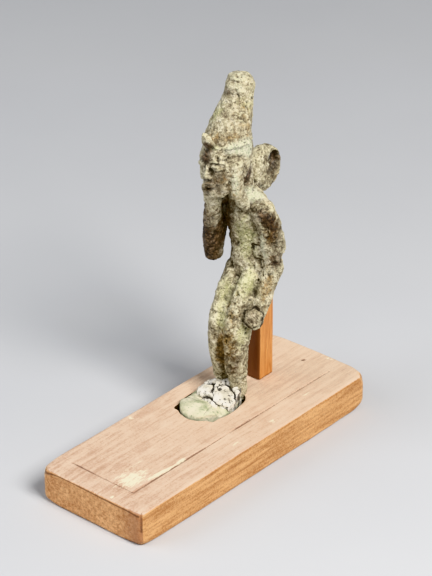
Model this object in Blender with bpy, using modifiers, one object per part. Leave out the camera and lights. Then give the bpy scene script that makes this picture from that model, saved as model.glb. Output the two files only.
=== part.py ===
"""A small cast bronze figure with a tall crown, set by its feet in a wooden mount board.

Metres, +Z up. The origin is the middle of the board's underside. The figure faces -Y, and
its left side is +X. The board is long in Y.
"""

import math

import bmesh
import bpy
import numpy as np
from mathutils import Matrix

# Board
BOARD_LENGTH = 0.092
BOARD_WIDTH = 0.035
BOARD_THICKNESS = 0.010
BOARD_EDGE_ROUND = 0.0009

# Border line scored in the board's top, measured from the near end and from the left side
LINE_FROM_END = 0.0065
LINE_FROM_SIDE = 0.0085
LINE_WIDTH = 0.0005
LINE_DEPTH = 0.0003

# The figure's height above the board, and where its feet stand from the board's middle
FIGURE_HEIGHT = 0.0925
FIGURE_ACROSS = -0.0045
FIGURE_BACK = 0.0080

# Oval cut-out for the feet, filled with putty
RECESS_WIDTH = 0.0166
RECESS_LENGTH = 0.0222
RECESS_DEPTH = 0.0045
RECESS_AHEAD = 0.0008

# Post that carries the seat
POST_WIDTH = 0.0050
POST_DEPTH = 0.0058
POST_TOP_SHARE = 0.94

# The gap that pieces keep where they touch
GAP = 0.0003

# The figure is laid out 92.5 units tall, so one unit is one millimetre at its real height
UNITS_TALL = 92.5
UNIT = FIGURE_HEIGHT / UNITS_TALL

# In the figure's units: the post's place behind the feet, and how high it reaches behind the seat
POST_BEHIND = 18.1
POST_REACH = 30.5

# Stations of each limb, in units from the middle of the feet at the board's top:
# across to the figure's left, back, up, half width, half depth
TORSO = [
    (0.0, 13.8, 31.5, 4.6, 3.8),
    (0.0, 13.6, 34.5, 5.5, 4.6),
    (0.0, 13.0, 38.5, 5.1, 4.2),
    (0.0, 12.6, 42.5, 4.7, 3.7),
    (0.0, 12.0, 48.0, 5.2, 4.1),
    (0.0, 11.0, 53.0, 6.2, 4.2),
    (0.0, 10.4, 57.0, 4.4, 3.8),
    (0.0, 9.4, 61.0, 3.5, 3.7),
    (0.0, 8.2, 67.0, 3.8, 4.6),
]
SHOULDERS = [
    (-7.0, 10.7, 54.6, 3.1, 3.0),
    (-3.8, 10.7, 56.6, 3.4, 3.0),
    (0.0, 10.7, 58.0, 3.6, 3.2),
    (3.8, 10.7, 56.6, 3.4, 3.0),
    (7.0, 10.7, 54.6, 3.1, 3.0),
]
HEAD = [
    (0.0, 0.6, 61.8, 2.6, 2.4),
    (0.0, 1.6, 64.4, 4.4, 4.6),
    (0.0, 3.4, 68.4, 5.7, 6.9),
    (0.0, 4.4, 72.4, 6.0, 7.7),
    (0.0, 4.9, 76.0, 5.9, 6.8),
]
CROWN = [
    (0.0, 5.0, 76.0, 5.8, 6.6),
    (0.0, 5.9, 79.0, 5.4, 5.7),
    (0.0, 7.4, 82.6, 4.7, 4.8),
    (0.0, 8.6, 85.6, 4.0, 4.0),
    (0.0, 9.0, 87.0, 3.8, 3.8),
    (0.0, 9.4, 89.2, 3.9, 3.9),
    (0.0, 9.5, 90.4, 3.5, 3.5),
]
LEFT_ARM = [
    (7.0, 10.8, 54.8, 3.1, 3.3),
    (7.8, 12.8, 49.5, 3.2, 3.4),
    (8.0, 13.8, 43.0, 3.3, 3.6),
    (7.8, 12.7, 35.5, 3.0, 3.2),
    (7.2, 10.0, 28.5, 2.7, 2.9),
    (6.7, 8.4, 25.6, 2.5, 2.6),
]
RIGHT_UPPER_ARM = [
    (-7.0, 10.8, 54.8, 3.0, 3.2),
    (-7.5, 9.4, 48.5, 2.7, 2.8),
    (-7.1, 7.8, 39.4, 2.3, 2.6),
]
RIGHT_FOREARM = [
    (-7.3, 7.2, 39.4, 2.3, 2.5),
    (-5.8, 5.3, 47.5, 2.4, 2.6),
    (-3.8, 3.2, 56.0, 2.2, 2.4),
    (-2.6, 1.4, 61.0, 2.3, 2.3),
]
HAND = [
    (-2.5, 1.3, 60.8, 2.2, 2.2),
    (-1.9, -0.5, 63.0, 2.0, 1.7),
    (-0.9, -2.6, 65.8, 0.9, 1.0),
]
FIST = [
    (5.6, 9.4, 26.2, 2.6, 2.6),
    (6.6, 7.6, 25.4, 2.9, 2.9),
    (7.4, 6.4, 24.9, 2.8, 2.8),
]
LEG = [
    (2.9, 12.8, 33.6, 3.3, 4.9),
    (2.8, 9.1, 27.8, 3.1, 5.3),
    (2.7, 6.2, 21.5, 2.9, 4.8),
    (2.7, 5.2, 15.5, 2.8, 4.4),
    (2.5, 5.4, 9.0, 2.5, 3.6),
    (2.4, 6.2, 4.0, 2.2, 2.7),
    (2.4, 6.2, 0.0, 2.1, 2.7),
]
FOOT = [
    (2.5, 6.2, 0.4, 2.1, 1.8),
    (2.6, 1.6, 0.3, 2.3, 1.6),
    (2.8, -2.6, -0.4, 2.2, 1.1),
]
LAPPET = [
    (5.0, 2.4, 69.5, 1.5, 2.2),
    (4.8, 2.6, 64.0, 1.4, 1.9),
    (4.2, 4.4, 58.5, 1.3, 1.7),
    (3.6, 6.8, 55.0, 1.2, 1.5),
]
COBRA = [
    (0.0, -2.0, 75.4, 1.0, 0.9),
    (0.0, -2.7, 77.8, 1.6, 1.1),
    (0.0, -3.6, 79.5, 1.3, 1.4),
]
NOSE = [
    (0.0, -2.6, 71.0, 0.7, 0.9),
    (0.0, -3.4, 68.4, 1.0, 1.2),
]
CHIN = [
    (0.0, -1.4, 63.2, 1.5, 1.0),
    (0.0, -0.8, 61.2, 1.5, 1.2),
]

# The crown's band: middle, half width, half depth and half thickness, in units
BAND = ((0.0, 4.5, 76.0), 5.9, 6.7, 0.55)

# Suspension lug behind the head: back, up and the two radii of its edge and of its hole, in units
LUG_EDGE = (18.4, 62.1, 6.2, 6.9)
LUG_HOLE = (21.3, 64.2, 1.7, 1.9)
LUG_HALF_THICK = 2.2

# Putty lumps as shares of the recess, across and back from its middle and up from the board:
# middle (by half the width, half the length and half the width), then the three radii
PUTTY_LUMPS = [
    ((-0.05, -0.52, -0.10), 0.88, 0.48, 0.40),
    ((0.0, -0.12, 0.0), 0.50, 0.26, 0.36),
    ((-0.40, 0.12, -0.04), 0.54, 0.40, 0.42),
    ((0.30, 0.10, -0.04), 0.58, 0.44, 0.48),
    ((-0.50, 0.46, -0.08), 0.36, 0.36, 0.32),
    ((0.46, 0.50, -0.08), 0.40, 0.38, 0.42),
]
PUTTY_TOP_SHARE = 0.8

# Fineness of the fused solids: the figure's voxel in its units, the putty's as a length, and
# the share of faces kept
FIGURE_VOXEL = 0.42
FIGURE_KEPT = 0.09
PUTTY_VOXEL = 0.00055
PUTTY_KEPT = 0.25
SIDES = 24


def clear_scene():
    for old in list(bpy.data.objects):
        bpy.data.objects.remove(old, do_unlink=True)


def new_collection(name):
    made = bpy.data.collections.new(name)
    bpy.context.scene.collection.children.link(made)
    return made


def make_material(name, colour, roughness, metallic=0.0):
    made = bpy.data.materials.new(name)
    made.use_nodes = True
    shader = made.node_tree.nodes["Principled BSDF"]
    shader.inputs["Base Color"].default_value = (*colour, 1.0)
    shader.inputs["Roughness"].default_value = roughness
    shader.inputs["Metallic"].default_value = metallic
    return made


def add_object(name, mesh, into):
    made = bpy.data.objects.new(name, mesh)
    into.objects.link(made)
    return made


def from_bmesh(name, form, into):
    mesh = bpy.data.meshes.new(name)
    form.to_mesh(mesh)
    form.free()
    return add_object(name, mesh, into)


def add_box(name, size, centre, into):
    """A box of this size, with its middle at the object's origin."""
    form = bmesh.new()
    bmesh.ops.create_cube(form, size=1.0, matrix=Matrix.Diagonal((*size, 1.0)))
    made = from_bmesh(name, form, into)
    made.location = centre
    return made


def add_oval(name, width, length, height, centre, into):
    """An upright oval plug, with its middle at the object's origin."""
    form = bmesh.new()
    bmesh.ops.create_cone(
        form, cap_ends=True, segments=2 * SIDES, radius1=0.5, radius2=0.5, depth=1.0,
        matrix=Matrix.Diagonal((width, length, height, 1.0)),
    )
    made = from_bmesh(name, form, into)
    made.location = centre
    return made


def round_edges(piece, width, segments=2):
    bevel = piece.modifiers.new("round edges", "BEVEL")
    bevel.width = width
    bevel.segments = segments


def cut(piece, cutter):
    boolean = piece.modifiers.new("cut " + cutter.name, "BOOLEAN")
    boolean.operation = "DIFFERENCE"
    boolean.object = cutter


def as_cutter(piece):
    piece.hide_render = True
    piece.display_type = "WIRE"
    return piece


def smooth_through(stations, steps=4):
    """A smooth curve through all stations, with this many steps from each to the next."""
    rows = np.array(stations, float)
    padded = np.vstack([2 * rows[0] - rows[1], rows, 2 * rows[-1] - rows[-2]])
    t = (np.arange(steps) / steps)[None, :, None]
    a, b, c, d = (padded[i : i + len(rows) - 1, None] for i in range(4))
    curve = 0.5 * (
        2 * b + (c - a) * t
        + (2 * a - 5 * b + 4 * c - d) * t**2
        + (3 * b - a - 3 * c + d) * t**3
    )
    return np.vstack([curve.reshape(-1, rows.shape[1]), rows[-1]])


def tube_faces(rings, sides, closed):
    """Quads between neighbouring rings, and caps on the ends unless the rings close on themselves."""
    faces = []
    for i in range(rings if closed else rings - 1):
        low, high = i * sides, (i + 1) % rings * sides
        for j in range(sides):
            k = (j + 1) % sides
            faces.append((low + j, low + k, high + k, high + j))
    if not closed:
        faces.append(tuple(range(sides))[::-1])
        faces.append(tuple((rings - 1) * sides + j for j in range(sides)))
    return faces


def limb(stations, dome=1.0):
    """Ellipses lofted along the stations, square to the path, with a dome on each end.

    Half widths lie along the axis that the path moves least in, which is mostly across. A dome
    rises by its share of the end's smaller half width.
    """
    rows = smooth_through(stations)
    side = np.eye(3)[np.argmin(np.ptp(rows[:, :3], axis=0))]
    along = np.gradient(rows[:, :3], axis=0)
    along /= np.linalg.norm(along, axis=1)[:, None]
    angles = np.radians([18, 36, 54, 72])
    ends = []
    for row, way in ((rows[0], -along[0]), (rows[-1], along[-1])):
        rise = dome * min(row[3:]) * np.sin(angles)
        middles = row[:3] + rise[:, None] * way
        ends.append(np.hstack([middles, np.cos(angles)[:, None] * row[3:]]))
    rows = np.vstack([ends[0][::-1], rows, ends[1]])
    count = len(angles)
    along = np.vstack([[along[0]] * count, along, [along[-1]] * count])

    across = side - (along @ side)[:, None] * along
    across /= np.linalg.norm(across, axis=1)[:, None]
    back = np.cross(along, across)
    turn = np.arange(SIDES) * 2 * math.pi / SIDES
    points = (
        rows[:, None, :3]
        + rows[:, 3, None, None] * np.cos(turn)[None, :, None] * across[:, None, :]
        + rows[:, 4, None, None] * np.sin(turn)[None, :, None] * back[:, None, :]
    )
    return points.reshape(-1, 3), tube_faces(len(rows), SIDES, closed=False)


def lump(middle, half_width, half_depth, half_height):
    """An ellipsoid, as level ellipses."""
    level = np.linspace(-0.98, 0.98, 11)[:, None, None]
    turn = (np.arange(SIDES) * 2 * math.pi / SIDES)[None, :, None]
    spread = np.sqrt(1 - level**2)
    points = np.concatenate([
        half_width * spread * np.cos(turn),
        half_depth * spread * np.sin(turn),
        half_height * level * np.ones_like(turn),
    ], axis=2)
    return (points + middle).reshape(-1, 3), tube_faces(11, SIDES, closed=False)


def band(middle, half_width, half_depth, half_thick):
    """A level hoop of round section."""
    turn = (np.arange(2 * SIDES) * math.pi / SIDES)[:, None, None]
    tube = (np.arange(12) * math.pi / 6)[None, :, None]
    out = half_thick * np.cos(tube)
    points = np.concatenate([
        (half_width + out) * np.cos(turn),
        (half_depth + out) * np.sin(turn),
        half_thick * np.sin(tube) * np.ones_like(turn),
    ], axis=2)
    return (points + middle).reshape(-1, 3), tube_faces(2 * SIDES, 12, closed=True)


def lug(edge, hole, half_thick):
    """A round lug across the middle plane: a ring as thick, everywhere, as from hole to edge."""
    turn = np.arange(2 * SIDES) * math.pi / SIDES
    way = np.stack([np.cos(turn), np.sin(turn)], axis=1)
    outer = np.array(edge[:2]) + way * edge[2:]
    inner = np.array(hole[:2]) + way * hole[2:]
    tube = (np.arange(SIDES) * 2 * math.pi / SIDES)[None, :, None]
    middle, half = (outer + inner)[:, None] / 2, (outer - inner)[:, None] / 2
    flat = middle + half * np.cos(tube)
    across = half_thick * np.sin(tube) * np.ones((len(turn), 1, 1))
    points = np.concatenate([across, flat], axis=2)
    return points.reshape(-1, 3), tube_faces(2 * SIDES, SIDES, closed=True)


def mirrored(stations):
    return [(-across, *rest) for across, *rest in stations]


def fuse(name, forms, scale, voxel, kept, into):
    """One solid out of overlapping closed forms, whose points are multiplied by scale."""
    points, faces, count = [], [], 0
    for form_points, form_faces in forms:
        points.append(form_points)
        faces += [tuple(count + i for i in face) for face in form_faces]
        count += len(form_points)
    mesh = bpy.data.meshes.new(name)
    mesh.from_pydata((np.vstack(points) * scale).tolist(), [], faces)
    made = add_object(name, mesh, into)
    remesh = made.modifiers.new("fuse", "REMESH")
    remesh.mode = "VOXEL"
    remesh.voxel_size = voxel
    soften = made.modifiers.new("soften", "SMOOTH")
    soften.factor = 0.5
    soften.iterations = 4
    thin = made.modifiers.new("thin out", "DECIMATE")
    thin.ratio = kept
    return made


def figure_forms():
    """The casting's limbs, head, crown and lug."""
    one_of_each = (
        TORSO, SHOULDERS, LEFT_ARM, FIST, RIGHT_UPPER_ARM, RIGHT_FOREARM, HAND, COBRA, NOSE, CHIN
    )
    forms = [limb(stations) for stations in one_of_each]
    for stations in (LEG, FOOT, LAPPET):
        forms += [limb(stations), limb(mirrored(stations))]
    forms += [limb(HEAD, dome=0.5), limb(CROWN, dome=0.6)]
    forms += [band(*BAND), lug(LUG_EDGE, LUG_HOLE, LUG_HALF_THICK)]
    return forms


def make_figure(parts):
    figure = fuse("bronze_figure", figure_forms(), UNIT, FIGURE_VOXEL * UNIT, FIGURE_KEPT, parts)
    figure.location = (FIGURE_ACROSS, FIGURE_BACK, BOARD_THICKNESS)
    figure.data.materials.append(make_material("patinated bronze", (0.27, 0.26, 0.12), 0.62, 0.4))
    return figure


def grown_copy(figure, cutters):
    """The figure grown by the gap all over, to cut what touches it."""
    grown = figure.copy()
    grown.name = "figure_clearance"
    cutters.objects.link(grown)
    grow = grown.modifiers.new("grow", "DISPLACE")
    grow.mid_level = 0.0
    grow.strength = GAP
    return as_cutter(grown)


def make_board(recess_middle, parts, cutters):
    size = (BOARD_WIDTH, BOARD_LENGTH, BOARD_THICKNESS)
    board = add_box("wooden_board", size, (0, 0, BOARD_THICKNESS / 2), parts)
    round_edges(board, BOARD_EDGE_ROUND)
    recess = add_oval(
        "foot_recess", RECESS_WIDTH, RECESS_LENGTH, 2 * RECESS_DEPTH, recess_middle, cutters
    )
    side_line = BOARD_WIDTH / 2 - LINE_FROM_SIDE
    end_line = BOARD_LENGTH / 2 - LINE_FROM_END
    scored = 2 * LINE_DEPTH
    side = add_box(
        "side_line", (LINE_WIDTH, 2 * end_line, scored), (side_line, 0, BOARD_THICKNESS), cutters
    )
    end = add_box(
        "end_line", (2 * side_line, LINE_WIDTH, scored), (0, -end_line, BOARD_THICKNESS), cutters
    )
    for cutter in (recess, side, end):
        cut(board, as_cutter(cutter))
    board.data.materials.append(make_material("oiled hardwood", (0.50, 0.30, 0.16), 0.6))


def putty_forms():
    """A plug that overfills the recess, and the lumps pressed round the feet, in half widths."""
    length = RECESS_LENGTH / RECESS_WIDTH
    depth = 2 * RECESS_DEPTH / RECESS_WIDTH
    plug = [(0.0, 0.0, -1.2 * depth, 1.1, 1.1 * length), (0.0, 0.0, -0.06, 1.1, 1.1 * length)]
    forms = [limb(plug, dome=0.02)]
    for (across, back, up), wide, deep, tall in PUTTY_LUMPS:
        forms.append(lump((across, back * length, up), wide, deep * length, tall))
    return forms


def make_putty(recess_middle, clearance, parts, cutters):
    """Putty that fills the recess round the feet: fused lumps, trimmed to the recess's walls."""
    half_width = RECESS_WIDTH / 2
    putty = fuse("setting_putty", putty_forms(), half_width, PUTTY_VOXEL, PUTTY_KEPT, parts)
    putty.location = recess_middle
    depth = RECESS_DEPTH - GAP
    top = PUTTY_TOP_SHARE * half_width
    mould = add_oval(
        "putty_mould", RECESS_WIDTH - 2 * GAP, RECESS_LENGTH - 2 * GAP, depth + top,
        (recess_middle[0], recess_middle[1], recess_middle[2] + (top - depth) / 2), cutters,
    )
    trim = putty.modifiers.new("trim to the recess", "BOOLEAN")
    trim.operation = "INTERSECT"
    trim.object = as_cutter(mould)
    cut(putty, clearance)
    putty.data.materials.append(make_material("pale putty", (0.55, 0.58, 0.42), 0.85))


def make_post(clearance, parts):
    """The square post, narrower towards its top, hollowed where it meets the seat and thighs."""
    reach = POST_REACH * UNIT
    form = bmesh.new()
    bmesh.ops.create_cone(
        form, cap_ends=True, segments=4, radius1=math.sqrt(0.5),
        radius2=POST_TOP_SHARE * math.sqrt(0.5), depth=reach - GAP,
        matrix=Matrix.Diagonal((POST_WIDTH, POST_DEPTH, 1.0, 1.0)) @ Matrix.Rotation(
            math.pi / 4, 4, "Z"
        ),
    )
    post = from_bmesh("support_post", form, parts)
    middle = BOARD_THICKNESS + (reach + GAP) / 2
    post.location = (FIGURE_ACROSS, FIGURE_BACK + POST_BEHIND * UNIT, middle)
    cut(post, clearance)
    post.data.materials.append(make_material("stained softwood", (0.45, 0.17, 0.06), 0.55))


def build():
    clear_scene()
    parts = new_collection("bronze_statuette")
    cutters = new_collection("cutters")
    cutters.hide_render = True
    recess_middle = (FIGURE_ACROSS, FIGURE_BACK - RECESS_AHEAD, BOARD_THICKNESS)
    figure = make_figure(parts)
    clearance = grown_copy(figure, cutters)
    make_board(recess_middle, parts, cutters)
    make_putty(recess_middle, clearance, parts, cutters)
    make_post(clearance, parts)


build()
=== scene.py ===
# %% [markdown]
# # A small cast bronze figure, set by its feet in a wooden mount board
#
# The real thing is a votive bronze about as long as a finger. It was cast solid, buried for
# ages, and came out of the ground covered in green, brown and chalky crusts. Later someone cut
# an oval hole in a wooden board, set the feet in it with putty and plaster, and stood a small
# wooden post behind the legs.
#
# This notebook builds its looks around a model whose sizes are already fixed. Each step says
# what a piece is on the real object, how it could be made in Blender, and why this way was
# chosen. Nearly every shape is a surface worked out with numpy.

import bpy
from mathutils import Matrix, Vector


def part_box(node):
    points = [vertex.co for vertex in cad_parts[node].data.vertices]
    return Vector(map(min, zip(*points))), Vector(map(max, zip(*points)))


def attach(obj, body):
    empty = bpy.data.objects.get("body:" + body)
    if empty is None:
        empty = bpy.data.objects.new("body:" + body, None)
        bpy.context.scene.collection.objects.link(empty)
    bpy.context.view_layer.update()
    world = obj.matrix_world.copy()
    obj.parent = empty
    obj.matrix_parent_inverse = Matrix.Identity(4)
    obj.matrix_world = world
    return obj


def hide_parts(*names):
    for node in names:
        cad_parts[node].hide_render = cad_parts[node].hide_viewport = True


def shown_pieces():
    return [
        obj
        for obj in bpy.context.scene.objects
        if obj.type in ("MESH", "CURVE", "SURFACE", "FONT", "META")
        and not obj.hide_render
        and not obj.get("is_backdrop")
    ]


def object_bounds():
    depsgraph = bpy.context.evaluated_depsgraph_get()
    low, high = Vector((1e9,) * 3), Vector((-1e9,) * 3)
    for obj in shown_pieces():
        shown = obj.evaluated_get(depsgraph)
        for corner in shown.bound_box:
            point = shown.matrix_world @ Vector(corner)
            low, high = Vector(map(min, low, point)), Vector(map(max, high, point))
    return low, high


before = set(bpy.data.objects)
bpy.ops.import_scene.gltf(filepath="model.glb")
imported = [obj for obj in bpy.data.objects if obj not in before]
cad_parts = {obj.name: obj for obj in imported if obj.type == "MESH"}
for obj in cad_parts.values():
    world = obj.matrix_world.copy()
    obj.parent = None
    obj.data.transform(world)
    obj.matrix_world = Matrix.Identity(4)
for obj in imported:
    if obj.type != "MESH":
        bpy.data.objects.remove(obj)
cad_low, cad_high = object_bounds()
print("nodes:", sorted(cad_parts))

# %% Modules
import math

import bmesh
import bpy
import numpy as np
from mathutils import Vector

# %% [markdown]
# ## Where things stand
#
# The model is in metres, which makes awkward numbers for a thing this small, so every shape
# below is laid out in millimetres. The figure has its own corner of space: across to its left,
# back and up, from the middle between its feet at the top of the board. Those places come from
# the boxes of the fixed model, so nothing has to be fitted by eye. Every object is made as data
# first, and one function puts it in the scene.

# %% Places read from the fixed model
MM = 0.001
POST_BEHIND = 18.1
board_low, board_high = (np.array(corner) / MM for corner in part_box("wooden_board"))
post_low, post_high = (np.array(corner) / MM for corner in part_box("support_post"))
post_middle = (post_low + post_high) / 2
FEET = np.array([post_middle[0], post_middle[1] - POST_BEHIND, board_high[2]])
print("board", (board_high - board_low).round(1), "mm; feet's middle at", FEET.round(2))

# %% Making an object
def placed(name, data):
    """A new object of this data, in the scene and at its origin."""
    made = bpy.data.objects.new(name, data)
    bpy.context.scene.collection.objects.link(made)
    return made


# %% [markdown]
# ## Camera
#
# The photograph was taken from the figure's front left, from well above it, with a long lens:
# the board's far end is hardly smaller than its near end. A long focal length from two thirds
# of a metre away gives the same flat perspective.

# %% The camera
CAMERA_AT = (374.8, -434.5, 364.9)
AZIMUTH, ELEVATION = math.radians(40.6), math.radians(28.83)
LENS_MM, SENSOR_MM = 159.4, 36.0

lens = bpy.data.cameras.new("camera")
lens.lens, lens.sensor_width = LENS_MM, SENSOR_MM
camera = placed("camera", lens)
toward = Vector((
    -math.sin(AZIMUTH) * math.cos(ELEVATION),
    math.cos(AZIMUTH) * math.cos(ELEVATION),
    -math.sin(ELEVATION),
))
camera.location = Vector(CAMERA_AT) * MM
camera.rotation_mode = "QUATERNION"
camera.rotation_quaternion = toward.to_track_quat("-Z", "Y")
bpy.context.scene.camera = camera
print("the camera is", round(camera.location.length / MM), "mm from the board's middle")

# %% [markdown]
# ## Light
#
# The object stands in soft studio light. A large lamp high on the figure's left lights the
# post's side and leaves its front dark; a weak broad one from the other side opens the
# shadows, and a pale sky does the rest. Colours are shown with the view made for product
# pictures: it leaves middling colours alone, and only rolls off the brightest.

# %% Lamps and sky
def lamp(name, place, aim, side, watts, tint):
    """A square lamp of this side, in mm, that faces the point it is aimed at."""
    data = bpy.data.lights.new(name, "AREA")
    data.size, data.energy, data.color = side * MM, watts, tint
    made = placed(name, data)
    made.location = Vector(place) * MM
    made.rotation_mode = "QUATERNION"
    made.rotation_quaternion = (Vector(aim) - Vector(place)).to_track_quat("-Z", "Y")
    return made


MIDDLE = (0.0, 0.0, 40.0)
lamp("key_lamp", (540.0, -100.0, 600.0), MIDDLE, 360.0, 8.6, (1.0, 0.98, 0.95))
lamp("fill_lamp", (-420.0, -520.0, 420.0), MIDDLE, 600.0, 3.0, (0.95, 0.97, 1.0))
world = bpy.data.worlds.new("studio")
bpy.context.scene.world = world
world.use_nodes = True
sky = world.node_tree.nodes["Background"]
sky.inputs["Color"].default_value = (0.86, 0.89, 0.94, 1.0)
sky.inputs["Strength"].default_value = 0.30
bpy.context.scene.view_settings.view_transform = "Khronos PBR Neutral"
print("lamps:", [light.name for light in bpy.data.lights])

# %% [markdown]
# ## Colours and nodes
#
# Colours are written as they would be picked on a screen, in sRGB hex. Shading needs linear
# light, so one function turns a hex value into that. A second one adds any node with its
# settings and links. A third lays one colour over another wherever a pattern is strong, which
# keeps each material down to a list of its layers, as they would be brushed on.

# %% Helpers for materials
def material(name):
    """A new material, its node tree, and the shader that the tree starts with."""
    made = bpy.data.materials.new(name)
    made.use_nodes = True
    return made, made.node_tree, made.node_tree.nodes["Principled BSDF"]


def linear(code):
    """sRGB hex to linear: c/12.92 below 0.04045, and ((c + 0.055) / 1.055)^2.4 above."""
    shade = np.array([int(code[i : i + 2], 16) for i in (1, 3, 5)]) / 255
    curved = np.where(shade <= 0.04045, shade / 12.92, ((shade + 0.055) / 1.055) ** 2.4)
    return (*curved.tolist(), 1.0)


def add(tree, kind, inputs=None, **settings):
    """Adds one node: settings are its properties, inputs its sockets' values or links."""
    made = tree.nodes.new("ShaderNode" + kind)
    for name, value in settings.items():
        setattr(made, name, value)
    for socket, value in (inputs or {}).items():
        if isinstance(value, bpy.types.NodeSocket):
            tree.links.new(value, made.inputs[socket])
        else:
            made.inputs[socket].default_value = value
    return made


def per_metre(size):
    """How many cells of a pattern fit in a metre when one is this many millimetres wide."""
    return 1000.0 / size


print("mid grey #808080 is", round(linear("#808080")[0], 3), "in linear light")

# %% One layer over another
# A Mix node's sockets for colours, and its result
FACTOR, FIRST, SECOND, RESULT = 0, 6, 7, 2


def laid_over(tree, base, over, value, low, high, most=1.0, ease="LINEAR", blend="MIX"):
    """Lays one colour over another: none of it where value is at low, rising to most at high.
    Either colour is a hex value or an earlier layer. Gives the result and its amount."""
    ramp = {"Value": value, "From Min": low, "From Max": high, "To Max": most}
    amount = add(tree, "MapRange", ramp, interpolation_type=ease).outputs[0]
    under, upper = (linear(tone) if isinstance(tone, str) else tone for tone in (base, over))
    laid = add(tree, "Mix", {FACTOR: amount, FIRST: under, SECOND: upper}, data_type="RGBA",
               blend_type=blend)
    return laid.outputs[RESULT], amount


def surfaced(tree, shader, colour, height, strength, tallest):
    """Gives the shader its colour, and bumps that are tallest (mm) high where height is 1."""
    tree.links.new(colour, shader.inputs["Base Color"])
    bump = add(tree, "Bump", {"Height": height, "Strength": strength, "Distance": tallest * MM})
    tree.links.new(bump.outputs["Normal"], shader.inputs["Normal"])


print("materials so far:", len(bpy.data.materials))

# %% [markdown]
# ## Floor
#
# A plain pale sheet of board, large enough that its edges never show.

# %% Floor
FLOOR_HALF = 4.0
sheet = bpy.data.meshes.new("floor")
corners = [(-FLOOR_HALF, -FLOOR_HALF, 0), (FLOOR_HALF, -FLOOR_HALF, 0)]
corners += [(FLOOR_HALF, FLOOR_HALF, 0), (-FLOOR_HALF, FLOOR_HALF, 0)]
sheet.from_pydata(corners, [], [(0, 1, 2, 3)])
floor = placed("floor", sheet)

card, tree, shader = material("matt_painted_card")
place = add(tree, "TexCoord").outputs["Object"]
cloud = add(tree, "TexNoise", {"Vector": place, "Scale": per_metre(90.0), "Detail": 3.0})
tone = add(
    tree, "Mix",
    {FACTOR: cloud.outputs["Fac"], FIRST: linear("#BFC0C3"), SECOND: linear("#C8C9CB")},
    data_type="RGBA",
)
tree.links.new(tone.outputs[RESULT], shader.inputs["Base Color"])
shader.inputs["Roughness"].default_value = 0.85
floor.data.materials.append(card)
floor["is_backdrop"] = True
print("floor is", 2 * FLOOR_HALF, "m wide")

# %% [markdown]
# ## Surfaces as grids
#
# A limb, a crown or a ring can all be written as a grid of points: rows along the piece, and
# columns around it. The corners of its faces then follow from the row and column numbers
# alone. A smooth curve through a few chosen sections gives the rows, and an ellipse square to
# that curve gives the columns. Extruding and sculpting by hand would work too, but a grid can
# be changed later by changing one number.

# %% Faces of a grid
def grid_faces(rows, columns, ring):
    """Quads between neighbouring rows, whose columns close; ring closes the rows as well."""
    row = np.arange(rows if ring else rows - 1)[:, None]
    column = np.arange(columns)[None, :]
    above, beside = (row + 1) % rows, (column + 1) % columns
    corners = (row * columns + column, row * columns + beside,
               above * columns + beside, above * columns + column)
    return np.stack(corners, axis=-1).reshape(-1, 4)


def mesh_from(name, grids):
    """One mesh of several grids (rows x columns x 3, in mm). Open ends get a cap."""
    points, faces, start = [], [], 0
    for grid, ring in grids:
        rows, columns = grid.shape[:2]
        faces += (grid_faces(rows, columns, ring) + start).tolist()
        if not ring:
            last = start + (rows - 1) * columns
            faces.append(list(range(start, start + columns))[::-1])
            faces.append(list(range(last, last + columns)))
        points.append(grid.reshape(-1, 3))
        start += rows * columns
    mesh = bpy.data.meshes.new(name)
    mesh.from_pydata((np.vstack(points) * MM).tolist(), [], faces)
    return mesh


print("a 3 x 4 tube has", len(grid_faces(3, 4, False)), "quads")

# %% A limb: ellipses along a smooth curve
SIDES, STEPS = 40, 8
DOME = np.radians([12, 24, 36, 48, 60, 72, 82])


def turns(count, start=0.0):
    """This many angles, evenly spaced round a circle, the first one start steps along."""
    return (np.arange(count) + start) * 2 * math.pi / count


def smooth_through(stations):
    """A smooth curve through all the stations, STEPS rows from each to the next: a cubic in
    each gap, whose slope at a station is half the way between that station's neighbours."""
    rows = np.array(stations, float)
    padded = np.vstack([2 * rows[0] - rows[1], rows, 2 * rows[-1] - rows[-2]])
    t = (np.arange(STEPS) / STEPS)[None, :, None]
    a, b, c, d = (padded[i : i + len(rows) - 1, None] for i in range(4))
    curve = 0.5 * (
        2 * b + (c - a) * t
        + (2 * a - 5 * b + 4 * c - d) * t**2
        + (3 * b - a - 3 * c + d) * t**3
    )
    return np.vstack([curve.reshape(-1, rows.shape[1]), rows[-1]])


def limb(stations, dome=1.0):
    """Stations are (across, back, up, half width, half depth). Each row is an ellipse square
    to the curve: middle + width cos(turn) side + depth sin(turn) back. Both ends are domes
    whose rows shrink as cos and rise as sin."""
    rows = smooth_through(stations)
    side = np.eye(3)[np.argmin(np.ptp(rows[:, :3], axis=0))]
    along = np.gradient(rows[:, :3], axis=0)
    along /= np.linalg.norm(along, axis=1)[:, None]
    ends = []
    for row, way in ((rows[0], -along[0]), (rows[-1], along[-1])):
        rise = dome * min(row[3:]) * np.sin(DOME)
        ends.append(np.hstack([row[:3] + rise[:, None] * way, np.cos(DOME)[:, None] * row[3:]]))
    rows = np.vstack([ends[0][::-1], rows, ends[1]])
    along = np.vstack([[along[0]] * len(DOME), along, [along[-1]] * len(DOME)])
    across = side - (along @ side)[:, None] * along
    across /= np.linalg.norm(across, axis=1)[:, None]
    back = np.cross(along, across)
    turn = turns(SIDES)
    wide = rows[:, 3, None, None] * np.cos(turn)[None, :, None] * across[:, None]
    deep = rows[:, 4, None, None] * np.sin(turn)[None, :, None] * back[:, None]
    return rows[:, None, :3] + wide + deep, False


def mirrored(stations):
    """The same stations on the figure's other side."""
    return [(-across, *rest) for across, *rest in stations]


print("a limb of two stations is a grid of", limb([(0, 0, 0, 1, 1), (0, 0, 5, 1, 1)])[0].shape)

# %% Lumps, hoops and the lug
# A lump's levels stop just short of its poles, where caps close it
LEVELS = np.linspace(-0.985, 0.985, 15)
TUBE_SIDES = 16


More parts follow.
